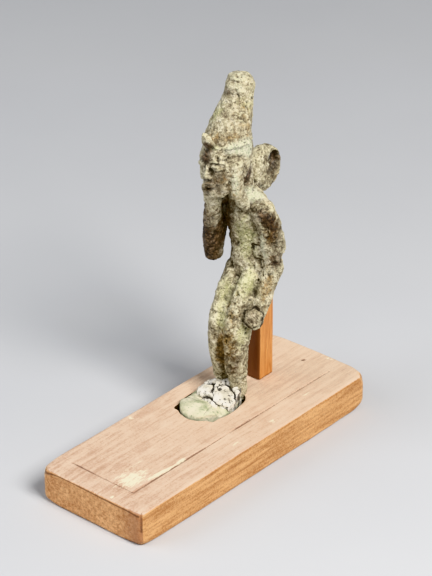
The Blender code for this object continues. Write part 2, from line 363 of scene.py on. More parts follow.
def lump(middle, radii):
    """An ellipsoid: level ellipses whose spread is the root of 1 - level squared."""
    level = LEVELS[:, None, None]
    turn = turns(SIDES)[None, :, None]
    spread = np.sqrt(1 - level**2)
    ball = [spread * np.cos(turn), spread * np.sin(turn), level * np.ones_like(turn)]
    return np.concatenate(ball, axis=2) * radii + middle, False


def hoop(middle, half_width, half_depth, tube):
    """A level hoop: an ellipse of points, each with a circle of radius tube around it."""
    turn = turns(2 * SIDES)[:, None, None]
    round_ = turns(TUBE_SIDES)[None, :, None]
    out = tube * np.cos(round_)
    points = [(half_width + out) * np.cos(turn), (half_depth + out) * np.sin(turn),
              tube * np.sin(round_) * np.ones_like(turn)]
    return np.concatenate(points, axis=2) + middle, True


def lug(edge, hole, half_thick):
    """An upright ring across the middle: at each turn its section is an ellipse that spans
    from the hole's edge to the outer edge, so it is thick at one side and thin at the other."""
    turn = turns(2 * SIDES)
    way = np.stack([np.cos(turn), np.sin(turn)], axis=1)
    outer = np.array(edge[:2]) + way * edge[2:]
    inner = np.array(hole[:2]) + way * hole[2:]
    round_ = turns(SIDES)[None, :, None]
    flat = (outer + inner)[:, None] / 2 + (outer - inner)[:, None] / 2 * np.cos(round_)
    thick = half_thick * np.sin(round_) * np.ones((len(turn), 1, 1))
    return np.concatenate([thick, flat], axis=2), True


print("a hoop is a grid of", hoop((0, 0, 0), 5, 6, 1)[0].shape)

# %% [markdown]
# ## One skin around many forms
#
# A caster's wax model is pinched together from rolls and pellets, and the joins are smoothed
# over. Blender's voxel remesh does the same: it throws away everything inside and wraps one
# even skin around all the overlapping forms. The even skin also has points everywhere, ready
# to take pits and crust.

# %% Fusing forms
def fused(name, grids, voxel, softer):
    """The outer skin of all the grids, at this voxel size in mm, smoothed softer times."""
    rough = mesh_from(name + "_rough", grids)
    piece = placed(name, rough)
    remesh = piece.modifiers.new("skin", "REMESH")
    remesh.mode = "VOXEL"
    remesh.voxel_size = voxel * MM
    soften = piece.modifiers.new("soften", "SMOOTH")
    soften.factor, soften.iterations = 0.5, softer
    graph = bpy.context.evaluated_depsgraph_get()
    skin = bpy.data.meshes.new_from_object(piece.evaluated_get(graph), depsgraph=graph)
    piece.modifiers.clear()
    piece.data = skin
    bpy.data.meshes.remove(rough)
    skin.name = name
    return piece


# %% A mesh as arrays
def read(mesh):
    """The mesh's points in mm, their normals, and its edges, as arrays."""
    points = np.empty(3 * len(mesh.vertices), np.float32)
    mesh.vertices.foreach_get("co", points)
    normals = np.empty(3 * len(mesh.vertices), np.float32)
    mesh.vertex_normals.foreach_get("vector", normals)
    edges = np.empty(2 * len(mesh.edges), np.int32)
    mesh.edges.foreach_get("vertices", edges)
    return points.reshape(-1, 3) / MM, normals.reshape(-1, 3), edges.reshape(-1, 2)


def write(mesh, points):
    """Moves the mesh's points to these places, in mm."""
    mesh.vertices.foreach_set("co", (points * MM).astype(np.float32).ravel())
    mesh.update()


def paint(mesh, name, values):
    """Stores one number per point under this name, for the mesh's material to read."""
    layer = mesh.attributes.new(name, "FLOAT", "POINT")
    layer.data.foreach_set("value", np.asarray(values, np.float32))


print("the floor reads back as", len(read(floor.data)[0]), "points")

# %% Smoothing, and what lies under a smoothed skin
FINE_ROUNDS, BROAD_ROUNDS, FINE_SHARE = 6, 70, 2.2


def eased(values, edges, rounds):
    """Smooths values: each round moves every one halfway to the mean of its neighbours."""
    a, b = edges.T
    size = len(values)
    count = np.bincount(edges.ravel(), minlength=size)[:, None]
    for _ in range(rounds):
        total = [
            np.bincount(a, values[b, i], size) + np.bincount(b, values[a, i], size)
            for i in range(values.shape[1])
        ]
        values = (values + np.stack(total, axis=1) / count) / 2
    return values


def sunk(points, normals, edges, rounds):
    """How far, in mm, each point lies under a skin smoothed by this many rounds."""
    return ((eased(points, edges, rounds) - points) * normals).sum(axis=1)


print("a hollow is measured under", FINE_ROUNDS, "and", BROAD_ROUNDS, "rounds of smoothing")

# %% [markdown]
# ## Noise
#
# Corrosion has no pattern, but it has sizes: broad swellings, grains of crust, and round pits
# where chlorides ate in. Two functions give all of them. One blends random numbers smoothly
# between the corners of a lattice. The other finds how far the nearest random seed is, which
# makes pits and pebbles. Blender's Displace modifier has similar textures; working them out
# here also tells the materials exactly where each pit is.

# %% Smooth noise
CELLS = 64
chance = np.random.default_rng(11)
LATTICE = chance.random((CELLS, CELLS, CELLS))
SEEDS = chance.random((CELLS, CELLS, CELLS, 4))


def noise(points, size, octaves=1):
    """From -1 to 1: a smoothstep blend of the eight lattice numbers around each point, with
    cells this many mm wide. Each further octave halves both the cells and the height."""
    total, weight = 0.0, 0.0
    for octave in range(octaves):
        spot = points * 2**octave / size + 17.3 * octave
        cell = np.floor(spot).astype(int)
        t = spot - cell
        t = t * t * (3 - 2 * t)
        value = 0.0
        for corner in np.ndindex(2, 2, 2):
            share = np.prod(np.where(corner, t, 1 - t), axis=1)
            value = value + share * LATTICE[tuple(((cell + corner) % CELLS).T)]
        total = total + (2 * value - 1) / 2**octave
        weight += 0.5**octave
    return total / weight


print("lattice numbers average", LATTICE.mean().round(3))

# %% Scattered seeds
def seeds(points, size, share):
    """Each lattice cell, this many mm wide, holds one seed at a random place, and this share
    of them are alive. Gives the distance to the nearest live seed, in cells, its luck, and
    how much further the second nearest is, which is 0 on the border between two seeds."""
    spot = points / size
    cell = np.floor(spot).astype(int)
    best, second = np.full((2, len(points)), 9.0)
    luck = np.zeros(len(points))
    for step in np.ndindex(3, 3, 3):
        near = cell + np.array(step) - 1
        seed = SEEDS[tuple((near % CELLS).T)]
        gap = np.linalg.norm(near + seed[:, :3] - spot, axis=1)
        gap = np.where(seed[:, 3] < share, gap, 9.0)
        closer = gap < best
        second = np.minimum(second, np.maximum(gap, best))
        best = np.where(closer, gap, best)
        luck = np.where(closer, seed[:, 3] / share, luck)
    return best, luck, second - best


print("the nearest seed to the origin is", seeds(np.zeros((1, 3)), 1.0, 1.0)[0].round(2), "mm off")

# %% Ragged places, dips and mounds
def warped(points, size, reach):
    """The points moved by up to reach mm in each direction by noise, to make seeds ragged."""
    pushes = [noise(points + 40 * (i + 1), size, 2) for i in range(3)]
    return points + reach * np.stack(pushes, axis=1)


def dip(distance, radius):
    """A round dip: 1 in its middle, falling smoothly to 0 at its radius."""
    t = np.clip(1 - distance / radius, 0, 1)
    return t * t * (3 - 2 * t)


def swells(points, places):
    """Sum of soft mounds, height x exp(-d^2), where d is the distance in each one's radii."""
    total = np.zeros(len(points))
    for (across, back, up), radii, height in places:
        way = (points - (across, back, up)) / radii
        total += height * np.exp(-(way**2).sum(axis=1))
    return total


print("halfway to its edge a dip is", dip(0.5, 1.0), "of its depth")

# %% [markdown]
# ## The bronze: body and limbs
#
# The figure is a crowned young god, half seated, with one hand raised to the mouth and the
# other arm down. Each form is a short list of sections, from the same places as in the fixed
# model: across to its left, back, up, half width and half depth, in millimetres.

# %% Body
TORSO = [
    (0.0, 13.8, 31.5, 4.6, 3.8), (0.0, 13.6, 34.5, 5.5, 4.6), (0.0, 13.0, 38.5, 5.1, 4.2),
    (0.0, 12.6, 42.5, 4.7, 3.7), (0.0, 12.0, 48.0, 5.2, 4.1), (0.0, 11.0, 53.0, 6.2, 4.2),
    (0.0, 10.4, 57.0, 4.4, 3.8), (0.0, 9.4, 61.0, 3.5, 3.7), (0.0, 8.2, 67.0, 3.8, 4.6),
]
SHOULDERS = [
    (-7.0, 10.7, 54.6, 3.1, 3.0), (-3.8, 10.7, 56.6, 3.4, 3.0), (0.0, 10.7, 58.0, 3.6, 3.2),
    (3.8, 10.7, 56.6, 3.4, 3.0), (7.0, 10.7, 54.6, 3.1, 3.0),
]
LEG = [
    (2.9, 12.8, 33.6, 3.3, 4.9), (2.8, 9.1, 27.8, 3.1, 5.3), (2.7, 6.2, 21.5, 2.9, 4.8),
    (2.7, 5.2, 15.5, 2.8, 4.4), (2.5, 5.4, 9.0, 2.5, 3.6), (2.4, 6.2, 4.0, 2.2, 2.7),
    (2.4, 6.2, 0.0, 2.1, 2.7),
]
FOOT = [(2.5, 6.2, 0.4, 2.1, 1.8), (2.6, 1.6, 0.3, 2.3, 1.6), (2.8, -2.6, -0.4, 2.2, 1.1)]
WEB = [
    (0.0, 10.7, 31.0, 2.2, 3.6), (0.0, 7.4, 26.0, 2.3, 3.4), (0.0, 5.4, 20.0, 2.3, 3.4),
    (0.0, 5.0, 14.5, 2.1, 3.1), (0.0, 5.4, 10.5, 1.6, 2.5),
]
body = [limb(TORSO), limb(SHOULDERS), limb(WEB)]
for stations in (LEG, FOOT):
    body += [limb(stations), limb(mirrored(stations))]
print(len(body), "forms in the body")

# %% Arms and hands
LEFT_ARM = [
    (6.9, 10.6, 54.8, 3.1, 3.4), (7.7, 12.4, 50.0, 3.0, 3.3), (7.8, 13.4, 43.5, 2.9, 3.2),
    (7.9, 13.5, 39.0, 2.7, 2.9), (7.8, 12.6, 35.0, 2.5, 2.8), (7.3, 10.0, 28.5, 2.3, 2.5),
    (6.8, 8.4, 25.6, 2.4, 2.6),
]
FIST = [(5.6, 9.4, 26.2, 2.6, 2.6), (6.6, 7.6, 25.4, 2.9, 2.9), (7.4, 6.4, 24.9, 2.8, 2.8)]
RIGHT_UPPER_ARM = [
    (-7.0, 10.8, 54.8, 3.0, 3.2), (-7.5, 9.4, 48.5, 2.7, 2.8), (-7.1, 7.8, 39.4, 2.3, 2.6),
]
RIGHT_FOREARM = [
    (-7.3, 7.2, 39.4, 2.3, 2.5), (-5.8, 5.3, 47.5, 2.4, 2.6), (-3.8, 3.2, 56.0, 2.2, 2.4),
    (-2.6, 1.4, 61.0, 2.3, 2.3),
]
HAND = [(-2.5, 1.3, 60.8, 2.2, 2.2), (-1.9, -0.3, 62.8, 1.9, 1.7), (-1.4, -1.2, 63.8, 1.4, 1.3)]
FOREFINGER = [(-1.9, -1.5, 62.4, 1.0, 1.0), (-1.5, -2.7, 63.8, 0.9, 0.9), (-1.1, -3.5, 65.0, 0.7, 0.7)]
THUMB = [(-0.5, 0.3, 61.4, 0.8, 0.8), (0.3, -1.0, 62.4, 0.7, 0.7)]
arms = [limb(s) for s in (LEFT_ARM, FIST, RIGHT_UPPER_ARM, RIGHT_FOREARM, HAND)]
arms += [limb(FOREFINGER), limb(THUMB)]

# Three fingers curled into the raised hand, each lower and further out than the last
CURLED, CURLED_STEP = np.array([-2.7, -0.6, 62.4]), np.array([-0.30, 0.70, -0.95])
arms += [lump(CURLED + i * CURLED_STEP, (0.95, 1.0, 0.62)) for i in range(3)]

# Crust bridges the groove between the lowered arm and the body
BRIDGES = [(11.2, 51.5), (11.3, 47.0), (11.9, 42.5), (12.2, 37.5), (10.6, 32.0), (8.6, 28.5)]
arms += [lump((4.9, back, up), (1.9, 1.8, 2.6)) for back, up in BRIDGES]
print(len(arms), "forms in the arms")

# %% [markdown]
# ## The bronze: head and crown
#
# The face is a general one, calm and even, laid out by the usual rule of thirds: chin to
# the base of the nose, nose to brow, brow to the band of the crown. The crown is a tall cone
# with a knob, and a rearing cobra stands at its front. Behind the head is the cast loop that
# the figure once hung by.

# %% Head, crown and loop
HEAD = [
    (0.0, 0.6, 61.8, 2.6, 2.4), (0.0, 1.6, 64.4, 4.4, 4.6), (0.0, 3.4, 68.4, 5.7, 6.9),
    (0.0, 4.4, 72.4, 6.0, 7.7), (0.0, 4.9, 76.0, 5.9, 6.8),
]
CROWN = [
    (0.0, 5.0, 76.0, 5.8, 6.6), (0.0, 5.9, 79.0, 5.4, 5.7), (0.0, 7.4, 82.6, 4.7, 4.8),
    (0.0, 8.6, 85.6, 4.0, 4.0), (0.0, 9.0, 87.0, 3.8, 3.8), (0.0, 9.4, 89.2, 3.9, 3.9),
    (0.0, 9.5, 90.4, 3.5, 3.5),
]
LAPPET = [
    (5.0, 2.4, 71.0, 1.5, 2.2), (4.9, 2.6, 64.5, 1.4, 2.0), (4.3, 5.0, 59.5, 1.5, 1.9),
    (3.6, 8.4, 56.0, 1.5, 1.6),
]
COBRA = [
    (0.0, -1.9, 75.2, 1.1, 0.8), (-0.1, -2.7, 76.8, 2.1, 0.8), (-0.2, -3.2, 78.0, 1.7, 0.8),
    (-0.3, -3.6, 79.0, 0.8, 0.9), (-0.3, -4.3, 79.5, 0.7, 0.8),
]
COBRA_BODY = [
    (0.0, -0.6, 77.6, 0.6, 0.9), (1.2, 0.5, 79.2, 0.5, 0.6), (-1.0, 1.4, 81.0, 0.5, 0.6),
    (0.8, 2.5, 82.8, 0.4, 0.5), (0.0, 3.7, 84.6, 0.3, 0.4),
]
BAND = ((0.0, 4.5, 76.0), 5.9, 6.7, 0.55)
head = [limb(HEAD, dome=0.5), limb(CROWN, dome=0.6), limb(COBRA), limb(COBRA_BODY), hoop(*BAND)]
head += [limb(LAPPET), limb(mirrored(LAPPET))]
head.append(lug((18.4, 62.1, 6.2, 6.9), (21.7, 64.2, 1.1, 1.6), 2.1))
print(len(head), "forms in the head")

# %% Face
NOSE = [(0.0, -2.6, 72.0, 0.7, 0.8), (0.0, -3.1, 69.9, 0.65, 0.9), (0.0, -3.7, 68.0, 0.85, 1.0)]
CHIN = [(0.0, -1.7, 63.2, 1.7, 1.1), (0.0, -1.2, 62.0, 1.5, 1.1)]
EAR = [
    (5.4, 3.0, 72.4, 0.5, 0.5), (5.7, 4.2, 73.2, 0.55, 0.55), (5.9, 5.3, 72.4, 0.6, 0.5),
    (5.8, 5.3, 70.8, 0.55, 0.5), (5.6, 4.2, 69.4, 0.6, 0.6), (5.5, 3.4, 69.2, 0.5, 0.5),
]
BROW = [(0.9, -3.35, 72.0, 0.4, 0.5), (2.5, -2.8, 72.5, 0.4, 0.5), (4.1, -1.3, 71.9, 0.3, 0.4)]
LID = [(0.9, -3.2, 70.5, 0.3, 0.4), (2.3, -3.1, 71.15, 0.34, 0.5), (3.8, -2.0, 70.4, 0.3, 0.4)]
UPPER_LIP = [(-1.6, -2.6, 65.5, 0.3, 0.4), (0.0, -3.3, 65.8, 0.45, 0.5), (1.6, -2.6, 65.5, 0.3, 0.4)]
LOWER_LIP = [(-1.3, -2.4, 65.0, 0.3, 0.4), (0.0, -3.0, 64.85, 0.5, 0.5), (1.3, -2.4, 65.0, 0.3, 0.4)]
face = [limb(stations) for stations in (NOSE, CHIN, UPPER_LIP, LOWER_LIP)]
for stations in (EAR, BROW, LID):
    face += [limb(stations), limb(mirrored(stations))]
for side in (-1, 1):
    face.append(lump((side * 0.8, -3.2, 67.5), (0.55, 0.7, 0.5)))
    face.append(lump((side * 2.35, -2.7, 70.3), (1.25, 0.75, 0.55)))
print(len(face), "forms in the face")

# %% [markdown]
# ## The bronze: one casting
#
# All forms are fused, then soft mounds and dents are pressed into the skin along its normals:
# muscles, navel, kneecaps, creases round the eyes and mouth. Each is a bell of a few
# millimetres, which is quicker to steer than more sections would be.

# %% Fuse the casting and press in the softer forms
BRONZE_VOXEL = 0.285
PAIRED = [
    ((2.4, -3.0, 71.75), (1.6, 1.8, 0.3), -0.3), ((2.4, -2.9, 69.5), (1.5, 1.6, 0.3), -0.3),
    ((0.9, -3.2, 70.2), (0.35, 1.2, 0.7), -0.3), ((2.1, -2.7, 65.3), (0.4, 1.2, 0.5), -0.25),
    ((3.2, -2.2, 67.2), (1.6, 2.0, 1.4), 0.3), ((2.7, 7.0, 52.6), (2.2, 2.2, 1.7), 0.35),
    ((2.7, 18.0, 34.2), (2.3, 2.4, 2.8), 0.8), ((2.7, 1.0, 22.4), (1.5, 2.0, 1.7), 0.4),
    ((2.7, 1.6, 25.0), (2.0, 2.4, 0.42), -0.5), ((2.7, 1.2, 20.0), (1.9, 2.2, 0.4), -0.5),
    ((2.7, 9.6, 15.5), (1.8, 1.8, 4.0), 0.35), ((2.8, 11.5, 22.0), (2.0, 2.0, 1.2), -0.4),
    ((3.6, 15.0, 53.5), (1.8, 2.0, 2.6), 0.3),
]
SINGLE = [
    ((0.0, -3.2, 65.3), (1.9, 1.4, 0.2), -0.15), ((0.0, -2.6, 63.9), (1.2, 1.2, 0.3), -0.2),
    ((1.2, 6.4, 91.0), (2.8, 1.3, 0.38), -0.65), ((8.8, 16.0, 40.6), (2.2, 2.6, 0.9), -0.55),
    ((9.8, 15.0, 37.4), (1.6, 2.4, 1.5), 0.5), ((10.0, 9.6, 54.6), (1.6, 2.2, 2.2), 0.35),
    ((0.0, 8.9, 43.4), (0.6, 1.5, 0.55), -0.55), ((0.0, 8.8, 41.5), (3.2, 2.5, 2.6), 0.4),
    ((0.0, 15.6, 47.0), (0.7, 2.5, 7.0), -0.45), ((0.0, 18.4, 33.6), (0.5, 2.5, 3.0), -0.8),
    ((0.0, 7.4, 53.0), (0.5, 2.0, 2.6), -0.25), ((9.6, 16.5, 44.0), (2.0, 2.2, 2.2), 0.45),
    ((-7.2, 9.2, 38.6), (1.8, 1.6, 1.6), 0.3), ((0.0, 7.0, 31.5), (0.8, 2.5, 2.4), -0.3),
]
places = SINGLE + PAIRED + [((-x, y, z), radii, height) for (x, y, z), radii, height in PAIRED]

bronze = fused("bronze_figure_cast", body + arms + head + face, BRONZE_VOXEL, 3)
points, normals, edges = read(bronze.data)
points = points + normals * swells(points, places)[:, None]
write(bronze.data, points)
print(len(points), "points,", 2 * len(bronze.data.polygons), "triangles in the casting")

# %% [markdown]
# The lowered hand ends in a flat, crusted disc with a dark ring around it, as if a staff or the
# end of the fist had been lost. It is cut by pulling back every point that stands past a plane,
# and the ring is a groove round it, in the shape of a worn hexagon.

# %% The broken end of the fist
FIST_MIDDLE, FIST_WAY = np.array([7.3, 6.5, 25.1]), np.array([0.55, -0.72, 0.42])
FIST_WAY /= np.linalg.norm(FIST_WAY)
FIST_REACH, FIST_ASIDE = 5, 3.9
CUT_AT, RING_RADIUS, RING_WIDTH, RING_DEPTH = 2.1, 2.95, 0.26, 0.5
FIST_SIDES, FIST_TURNED = 6, 0.35

points, normals, edges = read(bronze.data)
offset = points - FIST_MIDDLE
ahead = offset @ FIST_WAY
aside = np.linalg.norm(offset - ahead[:, None] * FIST_WAY, axis=1)
on_fist = (aside < FIST_ASIDE) & (ahead > 0) & (np.linalg.norm(offset, axis=1) < FIST_REACH)
past = np.where(on_fist, np.clip(ahead - CUT_AT, 0, None), 0.0)
level = np.cross(FIST_WAY, (0.0, 0.0, 1.0))
turn = np.arctan2(offset @ np.cross(level, FIST_WAY), offset @ level) + FIST_TURNED
one_side = 2 * math.pi / FIST_SIDES
angular = aside * np.cos(turn % one_side - one_side / 2) / math.cos(one_side / 2)
from_ring = angular - RING_RADIUS + 0.35 * noise(points, 1.8, 3)
uneven = np.clip(0.9 + 0.7 * noise(points + 60, 1.6, 2), 0.5, 1.2)
groove = np.where(on_fist, RING_DEPTH * uneven * np.exp(-((from_ring / RING_WIDTH) ** 2)), 0.0)
points = points - (past + groove)[:, None] * FIST_WAY
write(bronze.data, points)
disc = np.where(on_fist, np.clip(-from_ring / 0.4, 0, 1), 0.0)
ring = np.where(on_fist, uneven * np.exp(-((from_ring / 0.42) ** 2)), 0.0)
print(int((past > 0).sum()), "points pulled back to the disc")

# %% [markdown]
# ## The bronze: corrosion
#
# The crust is made in the mesh, so that its lumps catch the light and show in the outline.
# Slow swellings come first. On them lie plates of crust, raised where a slow noise is high
# and flaked away where it is low. The crust is cracked into granules about a millimetre wide,
# whose borders are the borders between scattered seeds, and pits are eaten into it. The middle
# of the face and the raised hand get a tenth of all this, so that their features still read.

# %% Crust and pits
CRUSTED = [
    ((0.0, -1.5, 65.0), (5.5, 4.0, 4.0), 0.6), ((-5.5, 4.8, 52.0), (3.0, 3.5, 7.0), 0.4),
    ((9.5, 10.0, 52.0), (3.5, 5.0, 6.0), 0.8), ((10.0, 12.0, 43.0), (3.0, 5.0, 6.0), 1.0),
    ((4.0, 2.0, 15.0), (2.5, 3.0, 6.0), 1.0), ((2.0, 3.0, 78.0), (5.0, 5.0, 2.5), 0.6),
    ((8.4, 4.8, 26.0), (3.2, 3.2, 3.2), 0.9), ((0.0, 22.0, 62.0), (4.0, 4.0, 6.0), 1.0),
    ((2.5, 9.0, 44.0), (3.0, 3.0, 4.0), 0.8), ((0.0, 10.0, 84.0), (8.0, 8.0, 8.0), 0.3),
    ((0.0, -3.0, 78.6), (3.0, 3.0, 2.6), 1.0),
]
CROWN_FOOT, FACE_MIDDLE, FACE_HALF = 76, (-0.4, -3.4, 66.6), (5.2, 4.4, 7.0)
points, normals, edges = read(bronze.data)
crusted = np.clip(swells(points, CRUSTED), 0, 1.6)
from_face = (((points - FACE_MIDDLE) / FACE_HALF) ** 2).sum(axis=1)
calm = 1 - 0.9 * np.exp(-(from_face**2))
swelling = 0.34 * noise(points, 5.0, 2) + 0.26 * noise(points + 50, 2.2, 2)
plate_noise = noise(points + 90, 3.0, 4)
plates = np.clip((plate_noise + 0.10) / 0.16, 0, 1)
_, grain_luck, grain_border = seeds(warped(points, 1.1, 1.1), 1.2, 1.0)
granules = np.clip(grain_border / 0.35, 0, 1) * (0.25 + 0.75 * grain_luck)
pits = np.clip((-0.30 - noise(points + 31, 1.6, 3)) / 0.35, 0, 1)
on_crown = np.clip((points[:, 2] - CROWN_FOOT) / 3, 0, 1)
relief = swelling + 0.16 * plates + (0.14 + 0.22 * crusted) * (granules - 0.5)
relief = relief * (1 - 0.4 * on_crown) + 0.14 * noise(points + 7, 0.9, 2) - 0.6 * pits
relief = calm * relief - 0.12
points = points + normals * relief[:, None]
points[:, 2] = np.minimum(points[:, 2], cad_high[2] / MM - FEET[2])
write(bronze.data, points)
print("relief from", relief.min().round(2), "to", relief.max().round(2), "mm")

# %% [markdown]
# ## The bronze: where each colour lies
#
# Old bronze isn't one colour. Dirt and dark oxide stay in its small hollows, ridges are rubbed
# pale, and each side of the object met a different bit of soil. The deep recesses between parts
# are darkened as well, and that is painted shade. Hollows are measured: the skin is smoothed by
# a few rounds, and wherever the smooth skin lies outside the real one, there is a hollow. The
# patches are listed.

# %% Patches by place
# Brown stains, with two patches of painted shade: the one under the chin, between the raised forearm
# and the chest, and the one behind the left lappet.
BROWN_AND_SHADE = [
    ((0.3, -2.0, 64.3), (5.5, 4.4, 4.2), 0.85), ((2.8, -1.8, 69.4), (4.0, 3.4, 4.4), 0.4),
    ((1.5, 6.0, 83.5), (5.5, 6.0, 6.0), 0.3),
    ((-6.2, 4.8, 44.2), (5.0, 5.5, 11.0), 2.0), ((-4.6, 3.4, 56.0), (2.8, 3.2, 4.0), 0.7),
    ((9.7, 9.0, 53.2), (1.5, 2.0, 2.1), 2.0), ((8.0, 8.0, 55.4), (2.6, 2.2, 1.9), 0.9),
    ((10.8, 13.0, 43.8), (2.4, 3.4, 3.2), 0.6), ((10.2, 11.0, 50.6), (2.0, 3.0, 2.8), 0.8),
    ((10.6, 11.6, 47.3), (2.4, 3.6, 4.0), 0.7), ((0.2, -3.6, 76.4), (1.9, 1.8, 1.5), 1.5),
    # The second patch of this row, behind the left lappet, is painted shade
    ((-0.9, -3.4, 73.0), (2.0, 1.8, 2.2), 1.3), ((3.9, 7.4, 65.2), (2.2, 2.8, 3.6), 2.2),
    ((0.0, 22.6, 64.4), (3.2, 3.0, 3.6), 1.4), ((1.4, 20.0, 61.4), (1.8, 2.6, 2.0), 0.7),
    ((1.8, 15.6, 58.0), (1.6, 1.6, 1.4), 1.2), ((4.4, 2.4, 9.6), (2.4, 3.0, 3.2), 0.5),
    ((3.6, 1.4, 15.0), (2.2, 2.4, 5.5), 0.45), ((4.6, 3.0, 12.5), (1.6, 3.0, 3.0), 0.4),
    ((0.0, 3.0, 7.5), (1.8, 3.0, 3.0), 0.9), ((-0.7, 5.6, 88.4), (3.2, 2.5, 1.2), 0.7),
    # The second patch of this row, under the chin beside the raised forearm, is painted shade
    ((-3.6, 1.2, 20.0), (2.0, 2.0, 4.0), 0.6), ((-1.5, 7.0, 53.5), (2.4, 2.8, 5.5), 0.7),
    ((-7.0, 12.0, 49.0), (3.0, 3.5, 6.0), 0.8), ((0.0, 17.0, 45.0), (3.5, 3.0, 5.0), 0.8),
    ((0.0, 12.5, 74.0), (4.0, 3.0, 4.0), 0.8), ((-3.0, 13.5, 30.0), (3.0, 3.5, 4.0), 0.8),
    ((3.4, 0.6, 24.2), (2.2, 2.0, 1.0), 0.6), ((10.4, 11.6, 40.0), (2.2, 3.2, 2.4), 1.0),
]
CHALK = [
    ((5.0, 3.0, 75.4), (2.8, 4.8, 2.0), 1.5), ((5.8, 7.2, 73.0), (2.0, 2.8, 2.6), 1.0),
    ((4.4, 8.6, 59.4), (3.4, 3.0, 2.0), 1.5),
    ((0.6, 8.0, 92.2), (3.2, 3.2, 1.3), 0.5), ((1.8, 5.8, 89.8), (1.5, 2.0, 1.2), 0.7),
    ((5.8, 0.8, 66.0), (1.6, 2.2, 4.5), 0.9), ((7.6, 9.6, 44.5), (1.3, 1.6, 6.0), 1.0),
    ((-0.2, -4.0, 79.4), (1.4, 1.4, 1.2), 0.5), ((0.0, 16.5, 58.5), (2.5, 3.0, 3.0), 0.6),
    ((4.8, 4.4, 6.0), (1.8, 2.2, 2.2), 0.8), ((8.4, 7.0, 25.0), (2.2, 2.6, 2.4), 0.7),
    ((3.5, 17.5, 35.0), (2.5, 2.5, 3.0), 0.6), ((-6.0, 12.5, 57.0), (2.5, 2.5, 2.0), 0.5),
    ((9.4, 12.0, 37.2), (1.6, 2.4, 1.2), 0.5),
]
OCHRE = [
    ((2.6, 0.2, 78.0), (5.5, 4.6, 1.5), 0.6), ((4.8, 7.0, 82.0), (2.2, 3.2, 6.0), 0.5),
    ((0.2, 2.8, 15.0), (1.8, 2.6, 7.0), 1.2), ((2.2, 3.4, 26.5), (2.6, 2.6, 3.6), 0.6),
    ((2.6, -2.0, 66.0), (4.0, 3.4, 6.0), 0.4), ((5.2, 2.0, 66.0), (1.8, 2.4, 5.0), 0.7),
    ((-3.8, 5.4, 43.0), (1.3, 2.0, 6.0), 0.5), ((9.6, 10.5, 49.5), (2.6, 3.6, 7.0), 0.7),
    ((9.0, 9.6, 33.0), (2.2, 3.0, 5.5), 0.6),
    ((0.0, 13.0, 82.0), (3.0, 2.5, 5.0), 0.5), ((2.0, 21.5, 59.0), (2.0, 2.5, 3.5), 0.4),
    ((3.6, 1.2, 17.0), (2.4, 2.4, 6.0), 0.6), ((-4.4, 2.4, 55.0), (2.2, 2.2, 2.4), 0.7),
]
LIME = [
    ((5.6, 5.0, 20.0), (2.0, 3.0, 3.4), 1.4), ((-0.2, 2.6, 24.0), (2.2, 2.6, 5.0), 1.4),
    ((4.0, 8.2, 33.0), (3.2, 3.4, 5.0), 1.1), ((2.6, 8.8, 47.0), (3.4, 2.8, 7.0), 1.3),
    ((-2.0, 6.0, 31.0), (2.6, 3.4, 4.0), 0.9), ((-2.2, 2.2, 82.0), (2.4, 2.4, 4.5), 0.9),
    ((2.0, 8.6, 84.0), (4.5, 4.0, 7.0), 0.6), ((0.0, 15.0, 62.0), (3.0, 3.0, 4.0), 0.6),
    ((2.2, -2.6, 76.0), (4.5, 3.0, 0.9), 0.8),
]
PATCHES = {"brown_and_shade": BROWN_AND_SHADE, "chalk": CHALK, "ochre": OCHRE, "lime": LIME}
print({name: len(patches) for name, patches in PATCHES.items()}, "patches")

# %% Hollows and patches, stored on the mesh
points, normals, edges = read(bronze.data)
fine = sunk(points, normals, edges, FINE_ROUNDS)
broad = sunk(points, normals, edges, BROAD_ROUNDS)
# The broad term darkens the deep recesses between parts, such as under the chin: painted shade. The
# fine term is the dirt and oxide of small hollows.
hollow = FINE_SHARE * fine + 0.55 * np.clip(broad, -0.3, 0.6)
paint(bronze.data, "hollow", hollow)
paint(bronze.data, "crust", 0.45 * np.maximum(plates, 0.7 * on_crown) + 0.55 * granules)
ragged = 0.6 * noise(points, 2.8, 4)
for name, patches in PATCHES.items():
    paint(bronze.data, name, np.clip(1.3 * swells(points, patches) + ragged, 0, 2.4))
paint(bronze.data, "disc", disc)
paint(bronze.data, "ring", ring)
print("hollows:", (hollow > 0.12).mean().round(3), "of the skin is darkened")

# %% [markdown]
# ## Finish: buried bronze
#
# Buried bronze is covered in copper carbonates and tin oxide: dull, grainy and hardly
# metallic. Only the worn brown places keep a faint metal sheen. The shader stacks its layers:
# a buff ground of three tones, yellow-green patches, rubbed ridges, ochre and brown stains, of
# which two brown patches are painted shade, chalk, dark pinholes, and last the dirt in the
# small hollows, painted shade in the deep recesses, and the dark of the fist's ring.

# %% Patina: one patch
RAGGED = 2.2


def patch(tree, base, place, layer, codes, grain, low, high, most, blend="MIX"):
    """Lays two mixed tones over base where the mesh's layer, broken up by noise, passes low,
    and fully, or up to its most, where it passes high. A stain multiplies what is under it,
    and a crust covers it."""
    spread = add(tree, "Attribute", attribute_name=layer).outputs["Fac"]
    speck = add(tree, "TexNoise", {"Vector": place, "Scale": per_metre(grain), "Detail": 4.0,
                                   "Roughness": 0.65})
    both = add(tree, "Math", {0: speck.outputs["Fac"], 1: RAGGED, 2: spread},
               operation="MULTIPLY_ADD").outputs[0]
    fine = add(tree, "TexNoise", {"Vector": place, "Scale": per_metre(0.6 * grain), "Detail": 3.0,
                                  "Roughness": 0.75}).outputs["Fac"]
    tones, _ = laid_over(tree, *codes, fine, 0.42, 0.62)
    return laid_over(tree, base, tones, both, low, high, most, "SMOOTHSTEP", blend)


print("noise weighs", RAGGED, "times as much as a patch's own strength")

